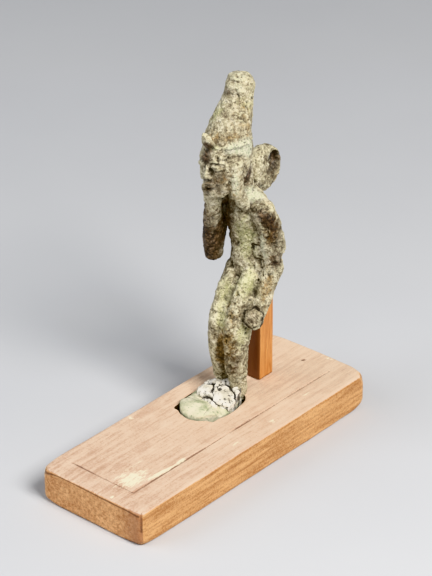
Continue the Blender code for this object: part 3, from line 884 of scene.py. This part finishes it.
# %% Patina: ground and stains
patina, tree, shader = material("buried_bronze_patina")
place = add(tree, "TexCoord").outputs["Object"]
hollows = add(tree, "Attribute", attribute_name="hollow").outputs["Fac"]
crust = add(tree, "Attribute", attribute_name="crust").outputs["Fac"]
bloom = add(tree, "TexNoise", {"Vector": place, "Scale": per_metre(1.4), "Detail": 5.0,
                               "Roughness": 0.8}).outputs["Fac"]
grit = add(tree, "TexNoise", {"Vector": place, "Scale": per_metre(0.55), "Detail": 3.0,
                              "Roughness": 0.7}).outputs["Fac"]
lifted = add(tree, "Math", {0: crust, 1: 0.22, 2: bloom}, operation="MULTIPLY_ADD").outputs[0]
gritty = add(tree, "Math", {0: grit, 1: 0.35, 2: lifted}, operation="MULTIPLY_ADD").outputs[0]
ground, _ = laid_over(tree, "#665A46", "#ADA284", gritty, 0.62, 0.82)
ground, _ = laid_over(tree, ground, "#E6DFC8", gritty, 0.78, 1.0)
LIME_TONES, OCHRE_TONES = ("#B6B880", "#DCD9AA"), ("#AD8E63", "#DEC698")
BROWN_AND_SHADE_TONES, CHALK_TONES = ("#524A4B", "#AA958B"), ("#BFC6A6", "#ECE5D2")
DISC_TONES, RING_TONES = ("#B0A9A5", "#F4ECE8"), ("#262018", "#3C3427")
ground, _ = patch(tree, ground, place, "lime", LIME_TONES, 1.2, 1.45, 2.6, 0.6)
ground, _ = laid_over(tree, ground, "#DDD8B6", hollows, -0.04, -0.36, 0.5)
ground, _ = patch(tree, ground, place, "ochre", OCHRE_TONES, 1.1, 1.35, 2.3, 0.95, "MULTIPLY")
# Brown stains, and painted shade under the chin and behind the left lappet
ground, brown_and_shade = patch(tree, ground, place, "brown_and_shade", BROWN_AND_SHADE_TONES, 1.6, 1.35, 2.9, 1.0, "MULTIPLY")
ground, _ = patch(tree, ground, place, "chalk", CHALK_TONES, 0.9, 1.45, 2.5, 0.72)
ground, _ = patch(tree, ground, place, "disc", DISC_TONES, 1.0, 1.20, 1.9, 0.9, "MULTIPLY")
print("ground and stains:", len(tree.nodes), "nodes")

# %% Patina: dirt and painted shade, sheen and bumps
specks = add(tree, "TexVoronoi", {"Vector": place, "Scale": per_metre(0.95), "Randomness": 1.0})
near = specks.outputs["Distance"]
ground, pinholes = laid_over(tree, ground, "#453A29", near, 0.30, 0.10, 0.6)
# Dark in the hollows: dirt and oxide in the small ones, painted shade in the deep recesses
ground, _ = laid_over(tree, ground, "#29231C", hollows, 0.04, 0.60, 0.84)
ground, _ = patch(tree, ground, place, "ring", RING_TONES, 0.8, 1.30, 1.9, 0.9)
for socket, least, most in (("Roughness", 0.82, 0.52), ("Metallic", 0.0, 0.25)):
    sheen = add(tree, "MapRange", {"Value": brown_and_shade, "To Min": least, "To Max": most})
    tree.links.new(sheen.outputs[0], shader.inputs[socket])

grains = add(tree, "TexVoronoi", {"Vector": place, "Scale": per_metre(0.42)}, feature="SMOOTH_F1")
sand = add(tree, "TexNoise", {"Vector": place, "Scale": per_metre(0.5), "Detail": 5.0,
                              "Roughness": 0.7})
rough = add(tree, "Math", {0: grains.outputs["Distance"], 1: sand.outputs["Fac"]}, operation="ADD")
pitted = add(tree, "Math", {0: rough.outputs[0], 1: pinholes}, operation="SUBTRACT")
surfaced(tree, shader, ground, pitted.outputs[0], 0.9, 0.26)
print("patina has", len(tree.nodes), "nodes")

# %% [markdown]
# Its place is moved into the mesh itself, and the object stays at the origin, so that patterns
# on object coordinates stay where they are on the bronze.

# %% Put the bronze in place
def settle(piece, offset, look, node):
    """Moves the mesh by offset (mm), gives it its look, and hands the piece to the frame."""
    points, _, _ = read(piece.data)
    write(piece.data, points + offset)
    piece.data.shade_smooth()
    piece.data.materials.clear()
    piece.data.materials.append(look)
    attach(piece, "root")
    if node:
        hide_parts(node)


settle(bronze, FEET, patina, "bronze_figure")
low, high = read(bronze.data)[0].min(axis=0), read(bronze.data)[0].max(axis=0)
print("the bronze spans", low.round(1), "to", high.round(1), "mm")

# %% [markdown]
# ## Putty
#
# The front of the oval hole is filled with smooth, pale green putty that was pushed in with a
# thumb: low domes with a few soft creases. It is a plug that fills the hole, with flat lumps
# on top, fused into one.

# %% The hole's outline
HOLE_WIDTH, HOLE_LENGTH, HOLE_DEPTH, HOLE_AHEAD = 16.6, 22.2, 4.5, 0.8
HOLE_NARROWS, HOLE_LEANS = 0.13, 1.0
HOLE_MIDDLE = FEET - (0.0, HOLE_AHEAD, 0.0)
PUTTY_GAP = 0.3
half_hole = np.array([HOLE_WIDTH, HOLE_LENGTH]) / 2


def in_hole(across_back):
    """Points in the hole's own terms: 1 from its middle is on its edge. The hole is an egg:
    an ellipse whose width shrinks evenly towards the back, and whose middle leans aside."""
    back = across_back[:, 1] / half_hole[1]
    across = (across_back[:, 0] + HOLE_LEANS * np.clip(back, 0, 1)) / half_hole[0]
    return np.stack([across / (1 - HOLE_NARROWS * (1 + back)), back], axis=1)


def out_of_hole(own):
    """The way back from the hole's own terms to millimetres."""
    across = own[:, 0] * (1 - HOLE_NARROWS * (1 + own[:, 1])) * half_hole[0]
    back = own[:, 1] * half_hole[1]
    return np.stack([across - HOLE_LEANS * np.clip(own[:, 1], 0, 1), back], axis=1)


def kept_in_hole(points):
    """Pulls points that stand over the edge back to just inside it, and further inside on the
    figure's left, where the filler has shrunk from the wood."""
    own = in_hole(points[:, :2])
    shrunk = PUTTY_GAP * (1 + 1.6 * np.clip(own[:, 0], 0, 1) ** 2)
    reach = np.linalg.norm(own, axis=1) / (1 - shrunk / half_hole[0])
    inside = out_of_hole(own / np.maximum(reach, 1)[:, None])
    return np.column_stack([inside, points[:, 2]])


print("the hole is", HOLE_WIDTH, "x", HOLE_LENGTH, "mm")

# %% Putty
DOMES = [
    ((-0.4, -6.2, -0.6), (7.0, 4.4, 2.8)), ((1.6, -6.9, -0.4), (5.2, 3.5, 2.4)),
    ((-4.2, -3.4, -0.6), (3.0, 3.2, 1.5)),
    ((-3.4, 1.2, -0.6), (4.4, 4.4, 1.6)), ((2.8, 0.6, -0.6), (4.8, 5.0, 1.6)),
    ((-3.8, 5.2, -0.8), (3.0, 4.0, 1.6)), ((3.9, 5.6, -0.8), (3.3, 4.2, 1.6)),
]
plug = [(0.0, 0.0, up, *half_hole * 0.96) for up in (PUTTY_GAP - HOLE_DEPTH, -1.4, -0.5)]
putty = fused("putty_fill", [limb(plug, dome=0.08)] + [lump(*dome) for dome in DOMES], 0.30, 5)
points, normals, edges = read(putty.data)
up = np.clip((points[:, 2] + 0.6) / 0.8, 0, 1)
crease = np.exp(-((points[:, 1] + 4.2 - 0.8 * np.sin(points[:, 0] * 0.7)) / 0.35) ** 2)
crease += np.exp(-((points[:, 0] - 1.8 + 0.25 * points[:, 1]) / 0.3) ** 2) * (points[:, 1] < -3)
gap, luck, _ = seeds(points, 1.8, 0.35)
relief = 0.16 * noise(points, 4.0, 3) - 0.22 * crease - 0.2 * dip(gap, 0.3) * luck
points = points + normals * (relief * up)[:, None]
points = kept_in_hole(points)
write(putty.data, points)
points, normals, edges = read(putty.data)
# The creases are darkened: dirt, and painted shade
paint(putty.data, "hollow", FINE_SHARE * sunk(points, normals, edges, FINE_ROUNDS))
print("the putty stands", points[:, 2].max().round(1), "mm above the board")

# %% [markdown]
# ## Plaster
#
# White plaster was packed over the feet and up to the ankles, and has crumbled since. It is
# made of a low heap with pellets strewn over it, fused, and then parted by a few deep cracks,
# creased between seeds and eaten into by the same kind of pits as the bronze.

# %% Cracks and dirt in the plaster
CRACKS = [
    [(-2.0, 5.9), (1.0, 5.7), (3.8, 5.4), (5.5, 4.7), (7.7, 2.8)],
    [(0.0, 3.8), (2.4, 3.7), (5.2, 1.7), (8.4, 0.2)],
    [(-6.0, -2.2), (-3.4, -3.4), (0.2, -2.6), (3.6, -3.6), (7.0, -2.8)],
    [(-5.0, 2.0), (-2.4, 1.2), (-0.6, -1.0)],
]
CRACK_DEEP, CRACK_WIDE = 1.4, 0.38
SOILED = [
    ((5.6, 2.8, 1.0), (2.6, 3.6, 2.6), 0.24), ((3.6, 7.0, 1.6), (3.4, 2.8, 2.6), 0.26),
    ((-3.6, 5.0, 2.4), (2.6, 3.0, 2.0), 0.16), ((5.6, -1.6, 0.0), (2.0, 1.8, 1.4), 0.16),
]


def beside(points, path):
    """How far each point is, seen from above, from the line through the path's places."""
    nearest = np.full(len(points), 99.0)
    for start, end in zip(np.array(path[:-1]), np.array(path[1:])):
        way = end - start
        share = np.clip((points[:, :2] - start) @ way / (way @ way), 0, 1)
        foot = start + share[:, None] * way
        nearest = np.minimum(nearest, np.linalg.norm(points[:, :2] - foot, axis=1))
    return nearest


print(len(CRACKS), "cracks,", len(SOILED), "dirty places")

# %% A heap of strewn pellets
PELLETS = 58
HEAP_MIDDLE, HEAP_HALF, HEAP_TOP, HEAP_FALLS = (0.4, 1.6), (6.2, 5.2), 3.5, 2.7
# No pellet is nearer to the heap's middle than this share of its half width
BARE = 0.35
strew = np.random.default_rng(5)
turn = strew.random(PELLETS) * 2 * math.pi
out = BARE + (1 - BARE) * np.sqrt(strew.random(PELLETS))
across = HEAP_HALF[0] * out * np.cos(turn) + HEAP_MIDDLE[0]
back = HEAP_HALF[1] * out * np.sin(turn) + HEAP_MIDDLE[1]
size = 0.7 + 1.3 * strew.random(PELLETS) ** 2
rise = HEAP_TOP - HEAP_FALLS * (out - BARE) / (1 - BARE)
pellets = [
    lump(place, (1.2 * s, 1.1 * s, 0.8 * s)) for *place, s in zip(across, back, rise, size)
]
heap = [
    lump((0.4, 1.4, 0.2), (7.2, 5.4, 3.0)), lump((0.2, 4.6, 1.4), (5.4, 4.4, 2.6)),
    lump((6.0, 5.8, 1.2), (1.7, 1.8, 2.0)), lump((4.4, 8.6, 1.0), (1.8, 1.6, 1.6)),
]
print("the widest pellet is", (2 * 1.2 * size.max()).round(1), "mm across")

# %% Plaster crust
plaster = fused("plaster_crust", heap + pellets, 0.26, 1)
points, normals, edges = read(plaster.data)
up = np.clip((points[:, 2] + 1.0) / 1.2, 0, 1)
bent = warped(points, 1.8, 1.0)
crack = sum(np.exp(-((beside(bent, path) / CRACK_WIDE) ** 2)) for path in CRACKS)
_, luck, border = seeds(warped(points, 1.4, 0.8), 1.7, 1.0)
pits = np.clip((-0.22 - noise(points + 7, 1.3, 3)) / 0.3, 0, 1)
relief = 0.5 * noise(points, 2.4, 3) + 0.3 * (np.clip(border / 0.3, 0, 1) - 1) * luck
relief += 0.22 * noise(points + 21, 0.9, 2) - 0.6 * pits - CRACK_DEEP * np.clip(crack, 0, 1)
points = points + normals * (relief * up)[:, None]
points = kept_in_hole(points + (0.0, HOLE_AHEAD, 0.0)) - (0.0, HOLE_AHEAD, 0.0)
points[:, 2] = np.maximum(points[:, 2], 0.5 - HOLE_DEPTH)
write(plaster.data, points)
points, normals, edges = read(plaster.data)
hollow = FINE_SHARE * sunk(points, normals, edges, FINE_ROUNDS)
# The broad hollows and the cracks are darkened as painted shade, over the pores' dirt
hollow += 0.6 * np.clip(sunk(points, normals, edges, 50), 0, 0.6)
soiled = swells(points, SOILED) * np.clip(0.9 + 2.2 * noise(points + 3, 1.1, 3), 0, 1.6)
paint(plaster.data, "hollow", hollow + 0.25 * np.clip(crack, 0, 1) + soiled)
print("the plaster reaches", points[:, 2].max().round(1), "mm up the ankles")

# %% [markdown]
# ## Finish: putty and plaster
#
# Both are fillers of ground chalk: matt, slightly translucent to the eye but not to light. The
# putty took a green tint from copper salts, and its creases are darkened by dirt and painted
# shade. The plaster is white with grey and brown dirt in its pores and painted shade in its
# cracks and recesses, so one function makes both from a few colours.

# %% Filler material
def filler(name, codes, grain, depth, dirt_and_shade_code, dirt_and_shade_from, dirt_and_shade_to):
    """A matt filler: two tones mixed by soft noise, a third in spots, and dirt and painted shade in
    the hollows.
    """
    made, tree, shader = material(name)
    place = add(tree, "TexCoord").outputs["Object"]
    hollows = add(tree, "Attribute", attribute_name="hollow").outputs["Fac"]
    cloud = add(tree, "TexNoise", {"Vector": place, "Scale": per_metre(3.0), "Detail": 4.0})
    ground, _ = laid_over(tree, codes[0], codes[1], cloud.outputs["Fac"], 0.38, 0.62)
    spots = add(tree, "TexNoise", {"Vector": place, "Scale": per_metre(grain), "Detail": 5.0,
                                   "Roughness": 0.7}).outputs["Fac"]
    ground, _ = laid_over(tree, ground, codes[2], spots, 0.52, 0.70)
    # Dirt, and painted shade, in the hollows
    ground, _ = laid_over(tree, ground, dirt_and_shade_code, hollows, dirt_and_shade_from, dirt_and_shade_to, 0.92, "SMOOTHSTEP")
    surfaced(tree, shader, ground, spots, 0.7, depth)
    shader.inputs["Roughness"].default_value = 0.88
    return made


putty_look = filler(
    "green_tinted_putty", ("#ADAE8D", "#DED6BE", "#83916B"), 0.8, 0.22, "#565338", 0.03, 0.26
)
plaster_look = filler(
    "crumbling_plaster", ("#CCC5B3", "#FBF6EC", "#857C6C"), 0.8, 0.3, "#2F281D", 0.04, 0.42
)
settle(putty, HOLE_MIDDLE, putty_look, "setting_putty")
settle(plaster, FEET, plaster_look, None)
print("fillers:", putty_look.name, plaster_look.name)

# %% [markdown]
# ## Post
#
# A square stick, sawn and stained, a little narrower at its top, stands behind the legs and
# carries the seat. Its section is a square with eased corners, which one formula gives: the
# radius at each turn is (|cos|^n + |sin|^n)^(-1/n), a circle at n = 2 and a square as n grows.

# %% Post
POST_TAPER, POST_SQUARE = 0.94, 13.0
POST_ROWS, POST_COLUMNS = 70, 96
# The head is cut away by this much at the front, where the seat rests on it
SEAT_FRONT = 3.2
post_half = (post_high - post_low) / 2
turn = turns(POST_COLUMNS, 0.5)
square = (np.abs(np.cos(turn)) ** POST_SQUARE + np.abs(np.sin(turn)) ** POST_SQUARE)
square = square ** (-1 / POST_SQUARE)
section = np.stack([square * np.cos(turn), square * np.sin(turn)], axis=1)
tall = post_high[2] - post_low[2]
level = np.linspace(0, 1, POST_ROWS)
# Rows close to a point in the foot and in the head, so that both ends are rounded over
shrink = np.concatenate([[0.02, 0.5, 0.93], np.ones(POST_ROWS), [0.95, 0.5, 0.02]])
level = np.concatenate([[0.0, 0.0, 0.0], level, [1.004, 1.006, 1.006]])
width = (1 - (1 - POST_TAPER) * level) * shrink
grid = np.empty((len(level), POST_COLUMNS, 3))
grid[:, :, :2] = width[:, None, None] * section * post_half[:2]
share = np.clip(level, 0, 1)[:, None]
slope = share * SEAT_FRONT * np.clip(-grid[:, :, 1] / post_half[1] + 0.1, 0, 1)
grid[:, :, 2] = share * (tall - 0.1) - slope
flat = grid.reshape(-1, 3)
whittled = 0.10 * noise(flat * (1, 1, 0.25), 2.5, 2) + 0.05 * noise(flat * (1, 1, 0.06) + 9, 0.7)
flat[:, :2] *= (1 + whittled / post_half[0])[:, None]
post = placed("post_stick", mesh_from("post_stick", [(flat.reshape(grid.shape), False)]))
_, normals, _ = read(post.data)
# The front face is painted darker: a dark stain, and painted shade from the legs just in front of it
paint(post.data, "front", np.clip(-normals[:, 1], 0, 1))
print("the post is", tall.round(1), "mm tall,", len(flat), "points")

# %% [markdown]
# ## Board
#
# The board is a thick offcut with handled, rounded edges and a border line scored near two
# sides. A grid covers each of its six sides, with its lines drawn closer together where the
# edges round and where the line is scored. Every grid point p is then rounded: the nearest
# point of a box that is smaller by the radius, plus the radius in the direction of p. As the
# radius itself wanders, the edge looks worn and not machined.

# %% Grid lines and sides of a box
EDGE_RADIUS, EDGE_WANDER, CORNER_REACH = 0.85, 0.4, 3.6
# The upright corners' radii, by the signs of their two places
CORNER_RADII = {(1, -1): 1.7, (-1, -1): 2.3, (1, 1): 3.3, (-1, 1): 2.4}
SCORE_SIDE, SCORE_END, SCORE_DEEP, SCORE_WIDE = 9.0, -39.5, 0.40, 0.26
GRID_STEP, GRID_STEP_UP = 0.6, 0.55
half = (board_high - board_low) / 2
centre = (board_high + board_low) / 2


def lines(reach, step, extra):
    """Positions from -reach to reach about step apart, closer at both ends and at extra."""
    plain = np.linspace(-reach, reach, int(2 * reach / step) + 1)
    close = np.array([0.0, 0.15, 0.3, 0.5, 0.7, 0.95, 1.25])
    rows = np.concatenate([plain, reach - close, close - reach, extra])
    rows = np.unique(np.clip(rows, -reach, reach).round(3))
    keep = np.diff(rows, prepend=rows[0] - 1) > 0.06
    keep[-1] = True
    return rows[keep]


def side_grid(axis, sign, along):
    """The box's side that faces sign x axis, as a grid over its two other axes."""
    first, second = ((1, 2), (2, 0), (0, 1))[axis]
    a, b = np.meshgrid(along[first], along[second], indexing="ij")
    points = np.empty((*a.shape, 3))
    points[..., axis] = sign * half[axis]
    points[..., first], points[..., second] = a, b
    rows, columns = a.shape
    row, column = np.arange(rows - 1)[:, None], np.arange(columns - 1)[None, :]
    corner = row * columns + column
    quads = np.stack([corner, corner + columns, corner + columns + 1, corner + 1], axis=-1)
    return points.reshape(-1, 3), quads.reshape(-1, 4)[:, :: int(sign)]


print("grid lines up a side:", len(lines(half[2], GRID_STEP_UP, np.array([]))))

# %% Board: six sides, rounded
near_score = np.arange(-0.9, 0.95, 0.13)
along = [
    lines(half[0], GRID_STEP, SCORE_SIDE + near_score),
    lines(half[1], GRID_STEP, SCORE_END + near_score),
    lines(half[2], GRID_STEP_UP, np.array([])),
]
points, faces, start = [], [], 0
for axis in range(3):
    for sign in (-1, 1):
        side_points, side_quads = side_grid(axis, sign, along)
        points.append(side_points)
        faces += (side_quads + start).tolist()
        start += len(side_points)
points = np.vstack(points)
from_corner = (half - np.abs(points))[:, :2] / CORNER_REACH
cornered = np.exp(-(from_corner**2).sum(axis=1))
radius = EDGE_RADIUS + EDGE_WANDER * noise(points, 9.0, 3)
for (right, far), corner_radius in CORNER_RADII.items():
    here = (points[:, 0] * right > 0) & (points[:, 1] * far > 0)
    radius += (corner_radius - EDGE_RADIUS) * cornered * here
radius += 0.5 * dip(seeds(points + 3, 14.0, 0.5)[0], 0.35)
inner = np.clip(points, radius[:, None] - half, half - radius[:, None])
arm = points - inner
points = inner + radius[:, None] * arm / np.linalg.norm(arm, axis=1)[:, None]
print(len(points), "points before the sides are joined")

# %% Scored line and dents
def scored(points, width):
    """How deep in the scored line each point lies: 1 on the line, which runs along one side
    and across one end, and falls off as a bell of this width. The knife wandered a little."""
    still = 0 * points[:, 1]
    wobble = 0.22 * noise(np.stack([points[:, 1] + points[:, 0], still, still], 1), 13.0, 2)
    far_in = (points[:, 1] > SCORE_END) & (points[:, 1] < -SCORE_END)
    side_line = np.exp(-(((points[:, 0] - SCORE_SIDE - wobble) / width) ** 2)) * far_in
    within = (points[:, 0] < SCORE_SIDE + 0.2) & (points[:, 0] > -0.75 * half[0])
    end_line = np.exp(-(((points[:, 1] - SCORE_END - wobble) / width) ** 2)) * within
    pressed = np.clip(0.65 + 0.8 * noise(points * (1, 0.6, 0) + 3, 5.0, 3), 0.05, 1)
    pressed *= 0.8 - 0.3 * points[:, 1] / half[1]
    return pressed * np.maximum(side_line, 0.7 * end_line)


top = np.clip((points[:, 2] - half[2] + 0.3) / 0.25, 0, 1)
score = scored(points, SCORE_WIDE) * top
dents = 0.18 * dip(seeds(points + 19, 9.0, 0.4)[0], 0.14)
waves = 0.05 * (1 + noise(points * (1, 0.3, 1), 5.0, 2))
points[:, 2] -= SCORE_DEEP * score + (dents + waves) * top
print("the line is pressed in by up to", (SCORE_DEEP * score.max()).round(2), "mm")

# %% Join the sides
mesh = bpy.data.meshes.new("mount_board")
mesh.from_pydata(((points + centre) * MM).tolist(), [], faces)
joined = bmesh.new()
joined.from_mesh(mesh)
bmesh.ops.remove_doubles(joined, verts=joined.verts, dist=0.004 * MM)
bmesh.ops.recalc_face_normals(joined, faces=joined.faces)
joined.to_mesh(mesh)
joined.free()
board = placed("mount_board", mesh)
print(len(mesh.vertices), "points once joined")

# %% [markdown]
# The hole was cut by hand, so its outline is an oval with a few slips of the knife, where a
# dark gap shows beside the putty. A closed plug with that outline is taken away from the
# board by a Boolean, which keeps the rim crisp.

# %% Cut the hole
CUT_COLUMNS = 120
SLIPS = [(229.0, 0.12, 0.13), (318.0, 0.10, 0.12), (28.0, 0.10, 0.20), (100.0, 0.06, 0.3)]
turn = turns(CUT_COLUMNS)
around = np.stack([np.cos(turn), np.sin(turn)], axis=1)
grow = 1 + 0.012 * noise(np.hstack([around * 8, 0 * around[:, :1]]), 1.6, 2)
for degrees, more, spread in SLIPS:
    apart = (turn - math.radians(degrees) + math.pi) % (2 * math.pi) - math.pi
    grow += more * np.exp(-((apart / spread) ** 2))
outline = out_of_hole(around * grow[:, None])
depths = np.array([-HOLE_DEPTH, -0.3, 0.4, 3.0])
flare = np.array([0.97, 1.0, 1.03, 1.1])
cutter_grid = np.empty((len(depths), CUT_COLUMNS, 3))
cutter_grid[:, :, :2] = flare[:, None, None] * outline
cutter_grid[:, :, 2] = depths[:, None]
cutter = placed("hole_cutter", mesh_from("hole_cutter", [(cutter_grid + HOLE_MIDDLE, False)]))
cutting = board.modifiers.new("cut the hole", "BOOLEAN")
cutting.operation, cutting.object = "DIFFERENCE", cutter
graph = bpy.context.evaluated_depsgraph_get()
cut_mesh = bpy.data.meshes.new_from_object(board.evaluated_get(graph), depsgraph=graph)
board.modifiers.clear()
board.data = cut_mesh
bpy.data.objects.remove(cutter)
print(len(cut_mesh.vertices), "points with the hole cut")

# %% [markdown]
# The board was finished once: orange-brown stain all over. The top has been handled until
# it is pinkish tan and nearly bare, with the stain left on the sides and in the scored line.
# Those places are stored on the mesh. Each point gets one number for each of them: how far it
# belongs to the top, to an end or to an edge, how worn or stained it is, and how far towards the
# back, where the top is paler. Painted shade darkens a band just under the top edge and the
# wall of the hole, and a painted highlight lies on the rounded edges with their wear.

# %% Where the board is worn
WORN = [
    ((4.2, -35.0, 0.0), (4.0, 5.6, 3.0), 1.1), ((8.2, -27.0, 0.0), (0.9, 5.0, 3.0), 1.1),
    ((8.5, -20.6, 0.0), (1.0, 1.8, 3.0), 1.0), ((6.1, -44.6, 0.0), (0.7, 0.7, 3.0), 1.2),
    ((-15.6, -13.5, 0.0), (1.5, 0.9, 3.0), 1.0), ((13.7, -5.3, 0.0), (1.3, 2.4, 3.0), 0.8),
    ((13.8, 9.7, 0.0), (1.0, 2.0, 3.0), 0.9), ((5.2, 44.8, 0.0), (2.2, 0.7, 3.0), 0.9),
    ((-16.9, -45.2, 0.0), (0.9, 0.9, 3.0), 1.0), ((11.8, 26.0, 0.0), (0.9, 5.0, 3.0), 0.6),
    ((-12.5, 33.0, 0.0), (1.4, 4.0, 3.0), 0.6), ((-15.5, 12.0, 0.0), (0.8, 5.0, 3.0), 0.6),
    ((-3.0, -42.5, 0.0), (5.0, 0.7, 3.0), 0.5), ((0.4, -28.0, 0.0), (1.0, 4.0, 3.0), 0.5),
]
EDGE_ROUNDS, DENT_ROUNDS, HOLE_REACH = 12, 4, 1.25
points, normals, edges = read(board.data)
local = points - centre
topness = np.clip((normals[:, 2] - 0.45) / 0.4, 0, 1) * (local[:, 2] > 0)
worn = swells(local * (1, 1, 0), WORN)
rounding = sunk(points, normals, edges, EDGE_ROUNDS)
dented = sunk(points, normals, edges, DENT_ROUNDS)
by_hole = np.linalg.norm(in_hole((points - HOLE_MIDDLE)[:, :2]), axis=1) < HOLE_REACH
# Painted shade: a dark band just under the rounded top edge, lighter where it faces the key lamp
below_edge = np.exp(-(((normals[:, 2] - 0.30) / 0.22) ** 2)) * (local[:, 2] > half[2] - 2.5)
below_edge *= np.where(normals[:, 0] > 0.4, 0.6, 1.1)
on_corner = np.exp(-(((normals[:, 0] + normals[:, 1]) / 0.35) ** 2)) * (normals[:, 0] > 0.3)
on_corner *= 0.75 * (local[:, 2] > -1) + 0.25
from_near = (half[0] - local[:, 0]) / 7
line = scored(local, 1.3 * SCORE_WIDE) * (normals[:, 2] > 0.3) * (local[:, 2] > half[2] - 1)
BOARD_LAYERS = {
    "topness": np.where(local[:, 2] < half[2] - 1.5, 0.0, topness),
    "worn": np.clip(worn, 0, 1.2),
    "end": np.abs(normals[:, 1]) ** 2,
    "below_edge": np.maximum(below_edge, 0.8 * on_corner) * ~by_hole,
    "stained": np.exp(-(from_near**2)) * (normals[:, 1] < -0.6),
    # The top grows paler towards the back
    "paler_to_back": np.clip(0.5 + local[:, 1] / (2 * half[1]), 0, 1),
    # Wear, and a painted highlight, on the rounded edges
    "edge": np.clip(-rounding * 4, 0, 1) * ~by_hole,
    "hollow": np.maximum(np.clip(dented * 8, 0, 1), 0.9 * line),
    # Painted shade on the wall of the hole
    "hole": np.clip((half[2] - 0.12 - local[:, 2]) / 0.15, 0, 1) * by_hole,
}
for name, values in BOARD_LAYERS.items():
    paint(board.data, name, values)
print("worn:", (worn > 0.3).mean().round(3), "of the board's points")

# %% [markdown]
# ## Finish: stained wood
#
# Both pieces of wood share a grain made of noise that is squeezed across the grain and drawn
# out along it, with short dark pores. Real pores are a twentieth of a millimetre wide, too fine
# for this picture, so they are drawn at about a fifth.

# %% Wood grain
def grain_nodes(tree, along_grain):
    """Streaks and pores: noise on coordinates shrunk to a small share along the grain."""
    place = add(tree, "TexCoord").outputs["Object"]
    drawn = add(tree, "VectorMath", {0: place, 1: along_grain}, operation="MULTIPLY").outputs[0]
    streaks = add(tree, "TexNoise", {"Vector": drawn, "Scale": per_metre(1.1), "Detail": 6.0,
                                     "Roughness": 0.65, "Distortion": 0.2}).outputs["Fac"]
    pores = add(tree, "TexNoise", {"Vector": drawn, "Scale": per_metre(0.22), "Detail": 2.0,
                                   "Roughness": 0.6}).outputs["Fac"]
    mottle = add(tree, "TexNoise", {"Vector": place, "Scale": per_metre(0.55), "Detail": 3.0,
                                    "Roughness": 0.8}).outputs["Fac"]
    return place, streaks, pores, mottle


def thin(tree, place):
    """Worn streaks: half a millimetre wide and several long, as they follow the grain."""
    drawn = add(tree, "VectorMath", {0: place, 1: (1.0, 0.2, 1.0)}, operation="MULTIPLY")
    strands = add(tree, "TexNoise", {"Vector": drawn.outputs[0], "Scale": per_metre(0.6),
                                     "Detail": 2.0, "Roughness": 0.8}).outputs["Fac"]
    return add(tree, "Math", {0: strands, 1: 2.0}, operation="MULTIPLY").outputs[0]


print("streaks are", round(1 / 0.07), "times as long as wide on the board")

# %% Board finish
oiled, tree, shader = material("handled_stained_hardwood")
place, streaks, pores, mottle = grain_nodes(tree, (1.0, 0.07, 1.0))
thin_streaks = thin(tree, place)
layer = {
    name: add(tree, "Attribute", attribute_name=name).outputs["Fac"] for name in BOARD_LAYERS
}
fibres = add(tree, "Math", {0: streaks, 1: mottle}, operation="ADD").outputs[0]
smudges = add(tree, "TexNoise", {"Vector": place, "Scale": per_metre(6.0), "Detail": 6.0,
                                 "Roughness": 0.75}).outputs["Fac"]
handled = add(tree, "Math", {0: smudges, 1: 0.6, 2: fibres}, operation="MULTIPLY_ADD").outputs[0]
top, _ = laid_over(tree, "#B9957C", "#E4CCB4", handled, 1.1, 1.5)
# Paler towards the back
top, _ = laid_over(tree, top, "#E8D0B4", layer["paler_to_back"], 0.0, 1.0, 0.5)
side, _ = laid_over(tree, "#A4703F", "#E0B079", fibres, 0.84, 1.18)
end_grain, _ = laid_over(tree, "#B17643", "#F0BD86", handled, 1.1, 1.5)
side = add(tree, "Mix", {FACTOR: layer["end"], FIRST: side, SECOND: end_grain},
           data_type="RGBA").outputs[RESULT]
ragged = add(tree, "Math", {0: layer["topness"], 1: mottle}, operation="ADD").outputs[0]
wood, is_top = laid_over(tree, side, top, ragged, 0.75, 1.15, 1.0, "SMOOTHSTEP")
wood, _ = laid_over(tree, wood, "#8A5C3C", pores, 0.58, 0.76, 0.4)
# Painted shade under the top edge and in the hole; wear and a painted highlight on the edges
for name, code, low, high, most in (
    ("stained", "#9A6446", 0.7, 1.7, 0.7), ("below_edge", "#5A341E", 0.85, 1.45, 0.8),
    ("edge", "#E2BE94", 0.95, 1.55, 0.6),
    ("worn", "#FFF6D8", 1.58, 1.95, 0.95), ("hollow", "#6B4226", 0.6, 1.1, 0.8),
    ("hole", "#2A1B10", 0.5, 1.0, 0.95),
):
    noisy = add(tree, "Math", {0: layer[name], 1: thin_streaks if name == "worn" else mottle},
                operation="ADD").outputs[0]
    wood, _ = laid_over(tree, wood, code, noisy, low, high, most, "SMOOTHSTEP")
sheen = add(tree, "MapRange", {"Value": is_top, "To Min": 0.5, "To Max": 0.66})
tree.links.new(sheen.outputs[0], shader.inputs["Roughness"])
height = add(tree, "Math", {0: pores, 1: streaks}, operation="ADD").outputs[0]
surfaced(tree, shader, wood, height, 0.5, 0.06)
settle(board, np.zeros(3), oiled, "wooden_board")
print("board finish has", len(tree.nodes), "nodes")

# %% Post finish
stained, tree, shader = material("orange_stained_softwood")
place, streaks, pores, mottle = grain_nodes(tree, (1.0, 1.0, 0.08))
front = add(tree, "Attribute", attribute_name="front").outputs["Fac"]
wood, _ = laid_over(tree, "#AE6C36", "#D59B5E", streaks, 0.35, 0.65)
# Dark stain and painted shade on the front face, behind the legs
wood, _ = laid_over(tree, wood, "#592C20", front, 0.35, 0.75, 0.85)
wood, _ = laid_over(tree, wood, "#5E2B10", pores, 0.60, 0.74, 0.5)
surfaced(tree, shader, wood, streaks, 0.5, 0.08)
shader.inputs["Roughness"].default_value = 0.48
settle(post, np.array([*post_middle[:2], post_low[2]]), stained, "support_post")
print("post finish has", len(tree.nodes), "nodes")

# %% [markdown]
# ## Sizes and the end
#
# The fixed model's box and the finished one are printed side by side, and the last lines print
# each piece's count of triangles.

# %% Print both boxes and finish
low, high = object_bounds()
print("fixed model", [round(v, 4) for v in cad_high - cad_low])
print("visual", [round(v, 4) for v in high - low])
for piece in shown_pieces():
    print(piece.name, sum(len(face.vertices) - 2 for face in piece.data.polygons), "triangles")
